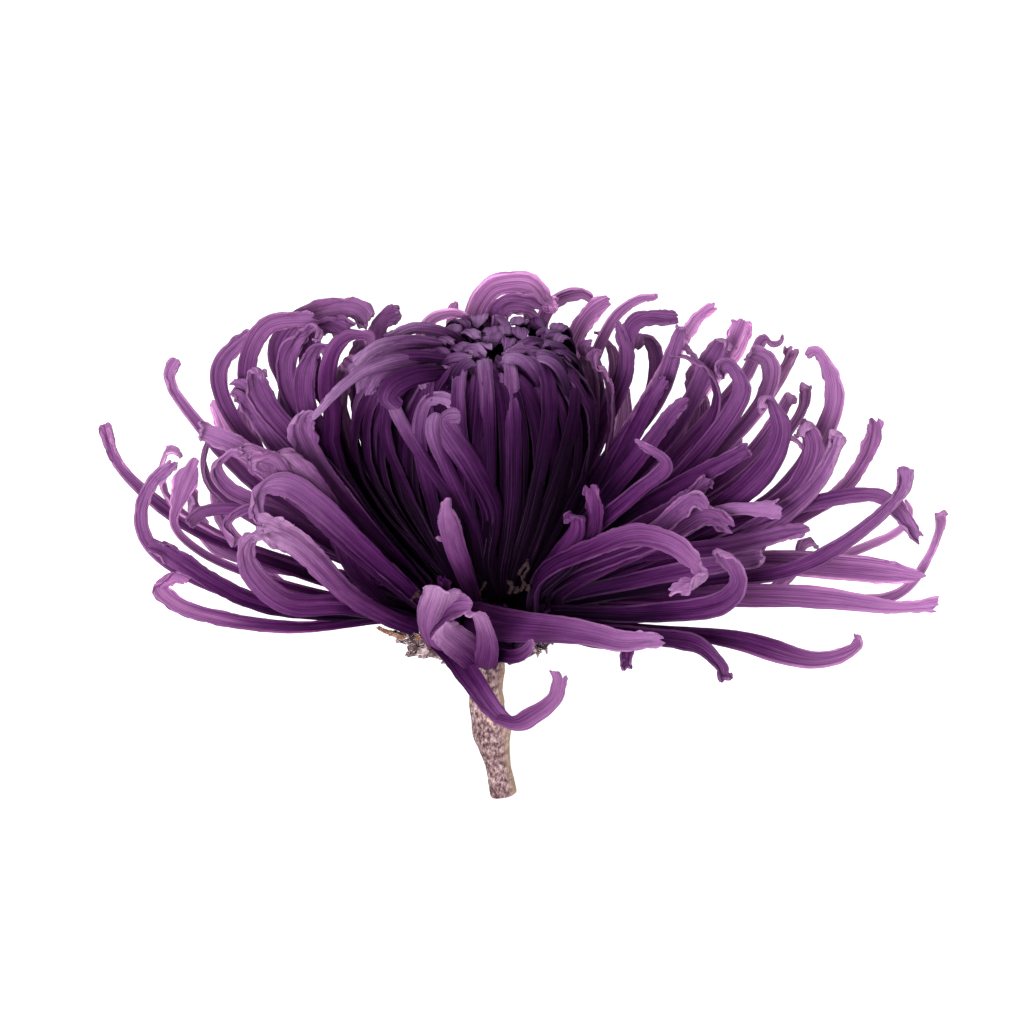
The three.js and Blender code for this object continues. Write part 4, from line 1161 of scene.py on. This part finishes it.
def petalMaterial(name, look):
    material, tree = newMaterial(name)
    uv = addNode(tree, "UVMap").outputs["UV"]
    across = addNode(tree, "SeparateXYZ", links={"Vector": uv}).outputs["X"]
    tone, reach, outward, wall, thin, pale = (attribute(tree, key) for key in bladeAttributes)

    def pattern(key, start):
        columns, along, apart, detail, rough = petalGrain[key]
        place = addNode(tree, "CombineXYZ", links={
            "X": times(tree, start, columns),
            "Y": times(tree, reach, along),
            "Z": times(tree, tone, apart),
        })
        return noise(tree, place.outputs[0], 1, detail, rough)

    # streaks that wander a little from side to side
    wavering = plus(tree, across, swing(tree, pattern("wander", across), petalGrain["wandering"]))
    fine, veins, glints = (pattern(key, wavering) for key in ("fine", "veins", "glints"))
    cloud = pattern("cloud", across)
    # dark at the root and paler towards the tip, with each floret's own tone; the near black at the root is
    # partly painted shade deep in the head
    outward = times(tree, maths(tree, "POWER", outward, petalGrain["outwardPower"]), petalGrain["outward"])
    place = plus(tree, outward, times(tree, reach, petalGrain["reach"]))
    # each floret's paleness, which is partly painted light and shade, moves it along the colours
    place = plus(tree, place, pale)
    place = plus(tree, place, swing(tree, cloud, petalGrain["cloudy"]))
    place = plus(tree, place, swing(tree, tone, petalGrain["toned"]))
    place = plus(tree, place, swing(tree, fine, petalGrain["streaked"]), clamp=True)
    colour = ramp(tree, place, look["stops"])
    stripes = ramp(tree, fine, petalGrain["stripes"])
    broad = ramp(tree, veins, petalGrain["broad"])
    # the streaks are strongest where it is dark and thin, and broad pale florets are smooth
    depth = minus(tree, 1.10, times(tree, place, 0.75))
    depth = plus(tree, depth, times(tree, thin, 0.35))
    smooth = times(tree, maths(tree, "MAXIMUM", pale, 0.0), 1.6)
    depth = minus(tree, depth, smooth, clamp=True)
    colour = mixed(tree, "MULTIPLY", depth, colour, stripes)
    colour = mixed(tree, "MULTIPLY", depth, colour, broad)
    # painted highlights: thin light lines painted where it is dark, standing in for glints of light
    lines = ramp(tree, glints, petalGrain["lines"])
    paintedGlints = mixed(tree, "MULTIPLY", 1.0, lines, petalGrain["paintedGlintColour"])
    colour = mixed(tree, "ADD", minus(tree, 0.8, place, clamp=True), colour, paintedGlints)
    # the hollow side is darker: partly its deeper colour, partly painted shade in the hollow
    colour = mixed(tree, "MULTIPLY", times(tree, wall, 0.6), colour, petalGrain["hollow"])
    # pale edges: painted light, a glow painted along the thin edges
    offMiddle = maths(tree, "ABSOLUTE", minus(tree, across, 0.5))
    edge = times(tree, minus(tree, offMiddle, 0.45, clamp=True), 12, clamp=True)
    edge = times(tree, times(tree, edge, place), 0.2)
    colour = mixed(tree, "MIX", edge, colour, petalGrain["edge"])
    grain = addNode(tree, "TexCoord").outputs["Object"]
    for key in ("blots", "dots"):
        scale, detail, stops = petalGrain[key]
        colour = mixed(tree, "MULTIPLY", 1.0, colour, ramp(tree, noise(tree, grain, scale, detail), stops))
    # a greyish bloom where it is pale and thick: partly a dusty bloom on the petals, partly painted sheen
    bloomAndSheen = times(tree, minus(tree, place, 0.5, clamp=True), 0.35)
    bloomAndSheen = times(tree, bloomAndSheen, minus(tree, 1.0, thin, clamp=True), clamp=True)
    colour = mixed(tree, "MIX", bloomAndSheen, colour, petalGrain["bloomAndSheen"])
    height = plus(tree, times(tree, fine, 0.8), times(tree, veins, 0.5))
    height = times(tree, height, plus(tree, times(tree, depth, 0.7), 0.3))
    height = plus(tree, height, times(tree, noise(tree, grain, *petalGrain["specks"]), 0.22))
    normal = bumped(tree, height, *petalGrain["bump"])
    surface = dull(tree, colour, petalGrain["roughness"], petalGrain["shine"], normal)
    # light comes through where it is thin, most at its tip and its edges
    glow = ramp(tree, place, [(0.15, (0.50, 0.08, 0.50)), (0.72, look["glow"])])
    glow = mixed(tree, "MULTIPLY", 1.0, glow, stripes)
    glow = mixed(tree, "MULTIPLY", 0.7, glow, broad)
    through = addNode(tree, "BsdfTranslucent", links={"Color": glow, "Normal": normal})
    rim = times(tree, minus(tree, offMiddle, 0.32, clamp=True), 2.0, clamp=True)
    letThrough = plus(tree, times(tree, place, look["through"]), rim)
    share = times(tree, letThrough, thin, clamp=True)
    both = addNode(tree, "MixShader", links={0: share, 1: surface, 2: through.outputs[0]})
    finish(tree, both.outputs[0])
    return material


outerPetal = petalMaterial("outerPetal", petal["outer"])
innerPetal = petalMaterial("innerPetal", petal["inner"])
centrePetal = petalMaterial("centrePetal", petal["centre"])

bark = {
    "stretch": (1, 0.6, 0.6),
    "blotches": (2300, 5, 0.62),
    "patches": (260, 3),
    "stops": [
        (0.34, (0.034, 0.015, 0.020)),
        (0.44, (0.105, 0.060, 0.066)),
        (0.55, (0.250, 0.165, 0.172)),
        (0.70, (0.450, 0.340, 0.335)),
    ],
    "tint": [(0.38, (0.72, 0.66, 0.66)), (0.55, (1, 1, 1)), (0.70, (1.15, 1.02, 0.86))],
    "warm": (0.56, 0.38, 0.25, 1),
}


def barkMaterial():
    # pale dry bark with brown specks, warmer on its left side
    material, tree = newMaterial("stemBark")
    co = addNode(tree, "TexCoord").outputs["Object"]
    stretched = addNode(tree, "Mapping", {"vector_type": "POINT"}, links={"Vector": co})
    stretched.inputs["Scale"].default_value = bark["stretch"]
    blotch = noise(tree, stretched.outputs[0], *bark["blotches"])
    colour = ramp(tree, blotch, bark["stops"])
    tint = ramp(tree, noise(tree, co, *bark["patches"]), bark["tint"])
    colour = mixed(tree, "MULTIPLY", 1.0, colour, tint)
    colour = mixed(tree, "MIX", times(tree, attribute(tree, "warm"), 0.65), colour, bark["warm"])
    finish(tree, dull(tree, colour, 0.85, 0.15, bumped(tree, blotch, 0.8, 0.00035)))
    return material


dry = {
    "blotches": (620, 5, 0.65),
    "patches": (300, 2),
    "stops": [
        (0.36, (0.020, 0.008, 0.010)),
        (0.47, (0.060, 0.030, 0.032)),
        (0.56, (0.140, 0.090, 0.092)),
        (0.68, (0.400, 0.320, 0.335)),
    ],
    "tanShare": [(0.66, (0, 0, 0)), (0.74, (0.6, 0.6, 0.6))],
    "tan": (0.26, 0.13, 0.055, 1),
    "ripe": (0.17, 0.070, 0.030, 1),
}


def dryMaterial():
    # dry bracts: brown with grey papery bloom, a few tan spots and two ripe orange scales
    material, tree = newMaterial("dryBract")
    co = addNode(tree, "TexCoord").outputs["Object"]
    tone = attribute(tree, "tone")
    blotch = noise(tree, co, *dry["blotches"])
    colour = ramp(tree, plus(tree, blotch, swing(tree, tone, 0.16)), dry["stops"])
    tan = ramp(tree, noise(tree, co, *dry["patches"]), dry["tanShare"])
    tan = times(tree, tan, times(tree, tone, 3.0, clamp=True))
    colour = mixed(tree, "MIX", tan, colour, dry["tan"])
    ripe = times(tree, attribute(tree, "pale"), 0.8, clamp=True)
    colour = mixed(tree, "MIX", ripe, colour, dry["ripe"])
    finish(tree, dull(tree, colour, 0.8, 0.2, bumped(tree, blotch, 0.9, 0.0004)))
    return material


def woolMaterial():
    material, tree = newMaterial("wool")
    co = addNode(tree, "TexCoord").outputs["Object"]
    colour = ramp(tree, noise(tree, co, 500, 2), [(0.4, (0.42, 0.30, 0.34)), (0.6, (0.78, 0.70, 0.74))])
    finish(tree, dull(tree, colour, 0.9, 0.1))
    return material


stemBark = barkMaterial()
dryBract = dryMaterial()
wool = woolMaterial()
print("materials made")


# the outer florets
def faceFront(line):
    return np.repeat(frontward[None], len(line), 0)


def faceOut(line):
    out = line - flowerMiddle
    return out / np.linalg.norm(out, axis=1)[:, None]


hollowReach = 40  # this far from the middle of the flower, hollows face half inwards and half up, mm


def hollowSeen(line):
    # a floret is hollow towards the flower's axis: is that side seen from the front?
    middle = line[len(line) // 2]
    run = line[len(line) * 3 // 4] - line[len(line) // 4]
    run /= np.linalg.norm(run)
    inward = laid([(0, 0, 1)])[0] - laid([(0, 0, 0)])[0] - (middle - flowerMiddle) / hollowReach
    inward -= run * np.dot(inward, run)
    return float(np.dot(inward, frontward))


def drawnFlorets(florets, look, draws):
    made = []
    for (width, tipDepth, flat), kind, thin, pale, tip in zip(florets, *look):
        line = drawnOuterLine(width, tipDepth, flat)
        hollow = hollowSeen(line) + draws(0.2) > 0
        made.append(bendAlong(
            "fine", floretKinds[kind], line, width, faceFront, draws, twist=draws(0.6), hollowFront=hollow,
            curl=tipTurns[tip], thin=int(thin) / 7, pale=(int(pale) - usualPale) * paleStep,
        ))
    return made


usualPale = 4
paleStep = 0.08
strapTwist = 0.25
lookDraws = startDraws(711)
outerDraws = startDraws(flower["seed"])
grownLook = {
    "kinds": ("quill", "spoon", "strap", "torn"),
    "tips": "-htr-hto",
    "twist": 0.6,
    "thin": (0.5, 0.3),  # the usual value and the most it changes by
    "pale": (0, 0.08),
}


def varied(usual, most):
    return usual + lookDraws(most)


def picked(choices):
    return choices[int(varied(0.5, 0.5) * (len(choices) - 0.001))]


def drawnStraps(straps, look, start):
    return [
        bendAlong(
            "fine", floretKinds[kind], drawnTopLine(flat), width, faceFront, lookDraws,
            twist=lookDraws(strapTwist), thin=int(thin) / 7, pale=(int(pale) - usualPale) * paleStep,
            start=start,
        )
        for (width, flat), kind, thin, pale in zip(straps, *look)
    ]


for name, florets, look in (
    ("leftFlorets", leftFlorets, leftLook),
    ("rightFlorets", rightFlorets, rightLook),
    ("frontFlorets", frontFlorets, frontLook),
    ("backFlorets", backFlorets, backLook),
):
    joined(name, drawnFlorets(florets, look, lookDraws), "outer_florets", outerPetal)
grown = []
for ring in outerRings:
    for line in outerRingLines(ring, outerDraws):
        kind = picked(grownLook["kinds"])
        tip = picked(grownLook["tips"])
        grown.append(bendAlong(
            "plain", kind, line, ring["width"], faceOut, lookDraws, twist=lookDraws(grownLook["twist"]),
            curl=tipTurns[tip], thin=varied(*grownLook["thin"]), pale=varied(*grownLook["pale"]),
        ))
joined("behindFlorets", grown, "outer_florets", outerPetal)
joined("foldedTips", drawnStraps(foldedTips, foldedLook, 0.8), "outer_florets", outerPetal)

# broken roots round the dark body that all florets grow from; both are coloured near black, painted shade at
# the bottom of the head
receptacle = {"radius": 9.0, "middle": 2.6, "height": 3.6}
stubs = {
    "count": 30,
    # the usual value and the most it changes by, in degrees and mm
    "azimuth": (-88, 86),
    "height": (3.4, 2.4),
    "length": (4.5, 2.0),
    "width": (1.8, 0.5),
    "rise": 22,
    "steeper": 9,  # degrees for each mm up
    "riseChange": 14,
    "kinds": ("torn", "point"),
}


def roundLump(name, radius, height, middle, segments=40, rings=20):
    deselectAll()
    bpy.ops.mesh.primitive_uv_sphere_add(segments=segments, ring_count=rings, radius=1)
    lump = bpy.context.object
    lump.name = name
    bpy.ops.object.mode_set(mode="EDIT")
    bpy.ops.mesh.select_all(action="SELECT")
    bpy.ops.transform.resize(value=(radius, radius, height), center_override=(0, 0, 0))
    bpy.ops.transform.translate(value=(0, 0, middle))
    bpy.ops.object.mode_set(mode="OBJECT")
    return lump


def layDown(piece):
    movePoints(piece.data, placed(pointsOf(piece.data)) * mm)
    piece.data.update()


body = roundLump("rootBody", receptacle["radius"], receptacle["height"], receptacle["middle"])
layDown(body)
setAttributes(body, tone=0.3, reach=0.0, outward=0.0, wall=1.0, thin=0.0, pale=-0.3)
rootParts = [body]
for i in range(stubs["count"]):
    azimuth = math.radians(varied(*stubs["azimuth"]))
    height = varied(*stubs["height"])
    radius = 8.4 - max(height - 2.5, 0) * 0.5
    length = varied(*stubs["length"])
    rise = math.radians(varied(stubs["rise"] + (height - 1) * stubs["steeper"], stubs["riseChange"]))
    out = np.array((math.cos(azimuth), math.sin(azimuth)))
    points = []
    for t in np.linspace(-0.4, 1, 8):
        reach = out * (radius + length * t * math.cos(rise))
        points.append((*reach, height + length * t * math.sin(rise) + 1.2 * t * t))
    rootParts.append(bendAlong(
        "short", stubs["kinds"][i % 2], placed(points), varied(*stubs["width"]), faceOut, lookDraws,
        twist=lookDraws(0.8), thin=0.1, pale=-0.25,
    ))
joined("brokenRoots", rootParts, "outer_florets", outerPetal)

# the florets of the dome
domeDraws = startDraws(flower["seed"] + 1)
# the dark middle that the closely packed florets make: a lump coloured near black, painted shade deep
# between the florets
domeCore = {"share": 0.72, "height": 16.5, "middle": 25.0}
core = roundLump("domeCore", 1, domeCore["height"], domeCore["middle"])
co = pointsOf(core.data)
reach = np.hypot(co[:, 0], co[:, 1])
wide = domeRadius(co[:, 2]) * domeCore["share"] / np.maximum(reach, 0.02)
co[:, 0] = co[:, 0] * wide + domeAxis(co[:, 2])
co[:, 1] *= wide
movePoints(core.data, co)
layDown(core)
setAttributes(core, tone=0.3, reach=0.0, outward=0.0, wall=1.0, thin=0.0, pale=-0.45)
domeMade = [core]
for (width, flat), kind, thin, pale, tip in zip(domeFlorets, *domeLook):
    domeMade.append(bendAlong(
        "fine", floretKinds[kind], drawnDomeLine(width, flat, tip == "i"), width, faceOut, lookDraws,
        twist=lookDraws(strapTwist), thin=int(thin) / 7, pale=(int(pale) - usualPale) * paleStep,
    ))
domeMade += drawnStraps(topStraps, topLook, 0.8)
joined("domeFlorets", domeMade, "inner_florets", innerPetal)
packedLook = {"wider": (1, 0.15), "twist": 0.4, "thin": 0.25, "pale": 0.06}
packed = []
for ring in domeRings:
    for line in domeRingLines(ring, domeDraws):
        packed.append(bendAlong(
            "plain", "strap", line, ring["width"] * varied(*packedLook["wider"]), faceOut, lookDraws,
            twist=lookDraws(packedLook["twist"]), thin=packedLook["thin"],
            pale=varied(ring["pale"], packedLook["pale"]),
        ))
joined("packedFlorets", packed, "inner_florets", innerPetal)

# the short unopened florets at the middle
buds = {
    # short closed florets whose tips turn to the hole: across, up as seen from the front, width
    "places": [
        [-12.4, 40.5, 2.6], [-10.4, 41.2, 2.8], [-7.8, 40.7, 2.7], [-5.0, 40.3, 2.6], [4.6, 41.4, 2.4],
        [-4.6, 41.7, 2.8], [-2.2, 41.7, 3.4], [-0.4, 42.9, 3.2], [1.9, 42.5, 2.9], [5.0, 42.6, 2.7],
        [7.6, 42.2, 2.6], [-7.2, 42.7, 2.6], [-6.0, 44.2, 2.6], [-3.2, 43.9, 2.7], [-0.2, 44.3, 3.2],
        [3.6, 44.1, 2.6], [7.3, 43.8, 3.0], [-8.6, 43.6, 2.4], [-4.4, 45.4, 2.4], [-2.2, 46.0, 2.5],
        [1.2, 45.6, 2.4], [3.8, 45.6, 2.5], [6.2, 45.3, 2.5], [9.2, 43.0, 2.5], [9.0, 44.8, 2.3],
        [-0.4, 46.6, 2.2], [-2.6, 40.7, 2.3], [3.2, 41.2, 2.2], [6.4, 40.8, 2.4], [8.7, 41.2, 2.4],
        [1.6, 44.4, 2.3], [-9.6, 42.6, 2.3], [2.8, 40.2, 2.3], [4.6, 40.1, 2.3], [-3.8, 39.6, 2.3],
        [6.6, 40.0, 2.2],
    ],
    "hole": (0.2, -3.2),
    "top": 44.6,
    "fall": 0.010,
    "kinds": ("even", "torn", "bud", "wedge", "even"),
    "wider": 1.1,
    "thin": 0.2,
    "pale": 0.07,
}
budParts = []
for across, up, width in buds["places"]:
    top = buds["top"] + lookDraws(0.4)
    depth = (up - top * math.cos(drawnFrom)) / math.sin(drawnFrom)
    top -= buds["fall"] * (across**2 + max(depth, 0) ** 2)
    depth = (up - top * math.cos(drawnFrom)) / math.sin(drawnFrom)
    head = np.array((across, depth, top))
    heading = math.atan2(buds["hole"][1] - depth, buds["hole"][0] - across) + lookDraws(0.5)
    inward = np.array((math.cos(heading), math.sin(heading), 0))
    points = [head + inward * along + (0, 0, rise) for along, rise in (
        (-4.2, -4.6), (-3.2, -1.7), (-1.6, -0.2), (0.2, 0.1), (1.6 + lookDraws(0.5), -0.7)
    )]
    kind = buds["kinds"][len(budParts) % len(buds["kinds"])]
    budParts.append(bendAlong(
        "short", kind, placed(smoothLine(points)), width * buds["wider"], faceOut, lookDraws,
        twist=lookDraws(0.7), thin=buds["thin"], pale=buds["pale"] + lookDraws(0.08),
    ))
joined("middleBuds", budParts, "centre_florets", centrePetal)

# bracts, woolly lumps and scales under the head
bractRows = [
    # radius and height of the roots, usual reach and rise, and reach and rise on the left
    {
        "count": 15, "radius": 3.6, "height": -1.9, "width": 2.8,
        "reach": 2.2, "long": 6.4, "rise": 22, "low": -4,
    },
    {
        "count": 16, "radius": 4.6, "height": -1.2, "width": 2.8,
        "reach": 2.4, "long": 8.8, "rise": 26, "low": 5,
    },
    {
        "count": 18, "radius": 6.0, "height": -0.4, "width": 2.6,
        "reach": 2.2, "long": 8.8, "rise": 30, "low": 14,
    },
]
# woolly lumps, most on the left: across and up as seen from the front, radius
bractLumps = [
    [-14.4, 0.9, 0.7], [-12.9, 0.6, 0.9], [-11.6, 0.1, 1.0], [-11.4, -1.1, 0.9], [-10.0, -1.4, 1.1],
    [-8.6, -1.7, 1.1], [-7.2, -2.1, 1.0], [-9.9, 0.0, 1.1], [-8.4, -0.4, 1.1], [-6.9, -0.8, 1.0],
    [-10.6, 1.0, 0.9], [-8.9, 0.9, 0.9], [0.8, 0.5, 0.6], [2.0, 0.3, 0.7], [3.0, 0.1, 0.6],
    [5.6, -0.1, 0.5], [6.6, -0.1, 0.5],
]
lumpForm = {"depth": -7, "height": 0.62, "stretch": (1.25, 0.9, 1), "bumpy": 0.22}
cupForm = {"radius": 7.2, "height": 2.1, "middle": -0.1}
leftward = math.radians(186)
bractParts = []


def faceDown(line):
    return np.repeat(placed([(0, 0, -1)]) - placed([(0, 0, 0)]), len(line), 0)


for row in bractRows:
    for i in range(row["count"]):
        azimuth = (i + lookDraws(0.25)) / row["count"] * 2 * math.pi
        towardsLeft = max(math.cos(azimuth - leftward), 0) ** 3
        length = row["reach"] + (row["long"] - row["reach"]) * towardsLeft + lookDraws(0.5)
        rise = math.radians(row["rise"] + (row["low"] - row["rise"]) * towardsLeft + lookDraws(6))
        out = np.array((math.cos(azimuth), math.sin(azimuth)))
        points = [
            (
                *(out * (row["radius"] + (length + 1.5) * t * math.cos(rise))),
                row["height"] + length * t * math.sin(rise) + 0.5 * math.sin(3 * t),
            )
            for t in np.linspace(0, 1, 10)
        ]
        width = row["width"] * (1 + lookDraws(0.15))
        bractParts.append(bendAlong(
            "short", "bract", placed(points), width, faceDown, lookDraws, twist=lookDraws(0.5)
        ))
# two long thin scales that have ripened to an orange brown: across, up and depth of each point
ripeScales = [
    [0.8, [-13.0, 0.4, -8, -14.4, 0.8, -8.6, -15.4, 1.2, -9, -16.9, 1.8, -9.4]],
    [0.8, [-7.6, 0.2, -8, -9.8, 0.4, -9.4, -11.4, 0.5, -10]],
]
for width, flat in ripeScales:
    scale = bendAlong(
        "short", "bract", drawnTopLine(flat), width, faceFront, lookDraws, twist=lookDraws(0.4)
    )
    setAttributes(scale, pale=1.0)
    bractParts.append(scale)
cup = roundLump("cup", *cupForm.values())
layDown(cup)
setAttributes(cup, tone=0.2)
bractParts.append(cup)
for across, up, size in bractLumps:
    lump = roundLump("lump", size, size * lumpForm["height"], 0, segments=24, rings=14)
    co = pointsOf(lump.data) * lumpForm["stretch"]
    bumps = [waves(co[:, i] * 2, co[:, (i + 1) % 3] * 3, lookDraws) for i in range(3)]
    co = co + lumpForm["bumpy"] * size * np.column_stack(bumps)
    movePoints(lump.data, co + fromFront(across, up, lumpForm["depth"]))
    layDown(lump)
    setAttributes(lump, tone=0.5 + lookDraws(0.4))
    bractParts.append(lump)
bracts = joined("bracts", bractParts, "involucre", dryBract)

# dry scales that show between the florets: across and up as seen from the front, width, length
chaff = [
    [-11.9, 5.7, 0.4, 1.2], [-11.0, 6.1, 0.3, 1.0], [-2.7, 6.6, 0.4, 1.6], [-1.9, 7.2, 0.4, 1.2],
    [2.0, 6.6, 0.4, 1.9], [2.6, 7.4, 0.5, 1.2], [3.6, 7.0, 0.4, 1.4], [4.3, 7.8, 0.4, 1.5],
    [3.4, 9.4, 0.3, 2.2], [4.1, 9.0, 0.3, 2.4], [3.0, 6.8, 0.7, 0.9], [4.6, 7.1, 0.6, 0.8],
    [-2.2, 6.4, 0.6, 0.9],
]
chaffDepth = -10
scales = []
for across, up, width, length in chaff:
    lean = lookDraws(1.1)
    points = []
    for t in np.linspace(0, 1, 5):
        aside = across + (lean + lookDraws(0.2)) * t * length
        points.append(fromFront(aside, up + t * length, chaffDepth + lookDraws(0.3)))
    scales.append(bendAlong(
        "short", "bract", placed(points), width, faceFront, lookDraws, twist=lookDraws(0.6)
    ))
chaffScales = joined("chaff", scales, "involucre", dryBract)
# painted shade: the scales between the florets are made darker all over
setAttributes(chaffScales, tone=-1.4)

fuzz = {"count": 2600, "length": 0.75, "radius": 0.035}


def makeFuzz():
    # fine three-sided hairs standing on the bracts
    co = pointsOf(bracts.data) / mm
    low = placed([(0, 0, 0)])[0]
    draws = startDraws(52)
    points, faces = [], []
    for i in range(fuzz["count"]):
        root = co[int((draws(0.5) + 0.5) * (len(co) - 1))]
        out = root - low
        out = out / np.linalg.norm(out) + np.array((draws(0.9), draws(0.9), draws(0.9)))
        out /= np.linalg.norm(out)
        side = np.cross(out, (0.3, 0.2, 1))
        side /= np.linalg.norm(side)
        other = np.cross(out, side)
        length = fuzz["length"] * (1 + draws(0.5))
        bow = side * draws(0.5) + other * draws(0.5)
        middle = root + out * length * 0.5 + bow * 0.3
        tip = root + out * length + bow
        first = len(points)
        for centre, radius in ((root, fuzz["radius"]), (middle, fuzz["radius"] * 0.8)):
            for k in range(3):
                angle = k * 2 * math.pi / 3
                points.append(centre + (side * math.cos(angle) + other * math.sin(angle)) * radius)
        points.append(tip)
        for k in range(3):
            j = (k + 1) % 3
            faces.append((first + k, first + j, first + 3 + j, first + 3 + k))
            faces.append((first + 3 + k, first + 3 + j, first + 6))
        faces.append((first + 2, first + 1, first))
    hair = bpy.data.meshes.new("wool")
    points = np.array(points)
    points[:, 2] = np.maximum(points[:, 2], 0.05)
    hair.from_pydata((points * mm).tolist(), [], faces)
    piece = bpy.data.objects.new("wool", hair)
    bpy.context.collection.objects.link(piece)
    hair.materials.append(wool)
    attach(piece, "root")
    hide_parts("involucre")


makeFuzz()

# the stem
stemLook = {
    "sides": 44, "rings": 84, "ribs": 5, "rib": 0.022,
    "into": 2.2,  # how far it runs up into the cup, mm
    # the bark's unevenness: height, and how fine it is round and along the stem
    "grain": [(0.020, 2, 16), (0.014, 5, 40)],
    # along, way round, height
    "knots": [(0.60, 2.9, 0.34), (0.62, 0.2, 0.26), (0.44, 3.0, 0.18), (0.73, 0.1, 0.14), (0.34, 2.8, 0.12)],
    "knotSpan": (0.05, 0.5),  # along and round
}


def makeStem():
    deselectAll()
    bpy.ops.mesh.primitive_cylinder_add(
        vertices=stemLook["sides"], radius=1, depth=1, location=(0, 0, 0.5), end_fill_type="NGON"
    )
    piece = bpy.context.object
    piece.name = "stem"
    bpy.ops.object.transform_apply(location=True)
    mesh = piece.data
    bpy.ops.object.mode_set(mode="EDIT")
    bpy.ops.mesh.select_mode(type="EDGE")
    bpy.ops.mesh.select_all(action="DESELECT")
    bpy.ops.object.mode_set(mode="OBJECT")
    for edge in mesh.edges:
        a, b = (mesh.vertices[i].co.z for i in edge.vertices)
        edge.select = abs(a - b) > 0.5
    bpy.ops.object.mode_set(mode="EDIT")
    bpy.ops.mesh.subdivide(number_cuts=stemLook["rings"])
    bpy.ops.mesh.select_mode(type="FACE")
    bpy.ops.mesh.select_all(action="DESELECT")
    bpy.ops.object.mode_set(mode="OBJECT")
    for face in mesh.polygons:
        face.select = abs(face.normal.z) > 0.9
    bpy.ops.object.mode_set(mode="EDIT")
    for inset in (0.08, 0.25, 0.3):
        bpy.ops.mesh.inset(thickness=inset)
    bpy.ops.object.mode_set(mode="OBJECT")
    co = pointsOf(mesh)
    top = (stemAcross[0], 0, stemUp[0] + stemLook["into"])
    below = [(x, 0, z - stem["gap"]) for x, z in zip(stemAcross, stemUp)]
    line = smoothLine(laid([top, *below]), 160) + shift
    s = np.linspace(0, 1, len(line))
    _, side, front = framesAlong(line, np.repeat(frontward[None], len(line), 0))
    radii = (stemRadius[0] * 0.9, *stemRadius)
    radii = movingMean(np.interp(s, np.linspace(0, 1, len(radii)), radii), 8)
    angle = np.arctan2(co[:, 1], co[:, 0])
    reach = np.hypot(co[:, 0], co[:, 1])
    draws = startDraws(93)
    scale = 1 + stemLook["rib"] * np.cos(stemLook["ribs"] * angle + 2 * co[:, 2]) * reach
    for height, fineRound, fineAlong in stemLook["grain"]:
        uneven = waves(np.cos(angle) * fineRound, co[:, 2] * fineAlong, draws)
        scale = scale + height * uneven * reach
    for place, where, height in stemLook["knots"]:
        off = (co[:, 2] - place) / stemLook["knotSpan"][0]
        sideways = np.angle(np.exp(1j * (angle - where))) / stemLook["knotSpan"][1]
        scale = scale + height * 0.35 * np.exp(-(off**2) - sideways**2) * reach
    at = [np.column_stack([np.interp(co[:, 2], s, v[:, i]) for i in range(3)]) for v in (line, side, front)]
    r = np.interp(co[:, 2], s, radii) * scale
    p = at[0] + at[1] * (co[:, 0] * r)[:, None] + at[2] * (co[:, 1] * r)[:, None]
    p[:, 2] = np.maximum(p[:, 2], 0)
    movePoints(mesh, p * mm)
    warm = np.clip(-co[:, 0] * 1.6 - 0.7, 0, 1) * np.clip(1.2 - np.abs(co[:, 1] - 0.4), 0, 1)
    setAttributes(piece, warm=warm)
    mesh.update()
    mesh.materials.clear()
    mesh.materials.append(stemBark)
    bpy.ops.object.mode_set(mode="EDIT")
    bpy.ops.mesh.select_all(action="SELECT")
    bpy.ops.mesh.normals_make_consistent(inside=False)
    bpy.ops.object.mode_set(mode="OBJECT")
    bpy.ops.object.shade_smooth_by_angle(angle=math.radians(50))
    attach(piece, "root")
    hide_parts("stem")


makeStem()
for blade in blades.values():
    bpy.data.objects.remove(blade)
print("stem and bracts made")

# floor and light
deselectAll()
bpy.ops.mesh.primitive_plane_add(size=12, location=(0, 0, 0))
floor = bpy.context.object
floor.name = "floor"
floorMaterial, floorTree = newMaterial("palePaper")
paper = addNode(floorTree, "BsdfPrincipled", Roughness=0.9)
paper.inputs["Base Color"].default_value = (0.3, 0.3, 0.3, 1)
paper.inputs["Specular IOR Level"].default_value = 0.1
paper.inputs["Emission Color"].default_value = (1, 1, 1, 1)
paper.inputs["Emission Strength"].default_value = 1.0
addNode(floorTree, "OutputMaterial", links={"Surface": paper.outputs[0]})
floor.data.materials.append(floorMaterial)

lights = {
    "world": 0.5,
    "key": {"place": (-0.4, -1.1, 0.9), "power": 40, "size": 0.6},
    "back": {"place": (0.2, 1.0, 1.2), "power": 26, "size": 1.0},
}
world = bpy.data.worlds.new("studio")
world.use_nodes = True
world.node_tree.nodes["Background"].inputs["Color"].default_value = (1, 1, 1, 1)
world.node_tree.nodes["Background"].inputs["Strength"].default_value = lights["world"]
bpy.context.scene.world = world
for name in ("key", "back"):
    rule = lights[name]
    data = bpy.data.lights.new(name, "AREA")
    data.energy = rule["power"]
    data.size = rule["size"]
    lamp = bpy.data.objects.new(name, data)
    bpy.context.collection.objects.link(lamp)
    lamp.location = rule["place"]
    toFlower = np.array((0, 0, 0.03)) - np.array(rule["place"])
    lamp.rotation_euler = (
        math.acos(-toFlower[2] / np.linalg.norm(toFlower)),
        0,
        math.atan2(toFlower[0], -toFlower[1]) + math.pi,
    )
bpy.context.scene.view_settings.view_transform = "Standard"
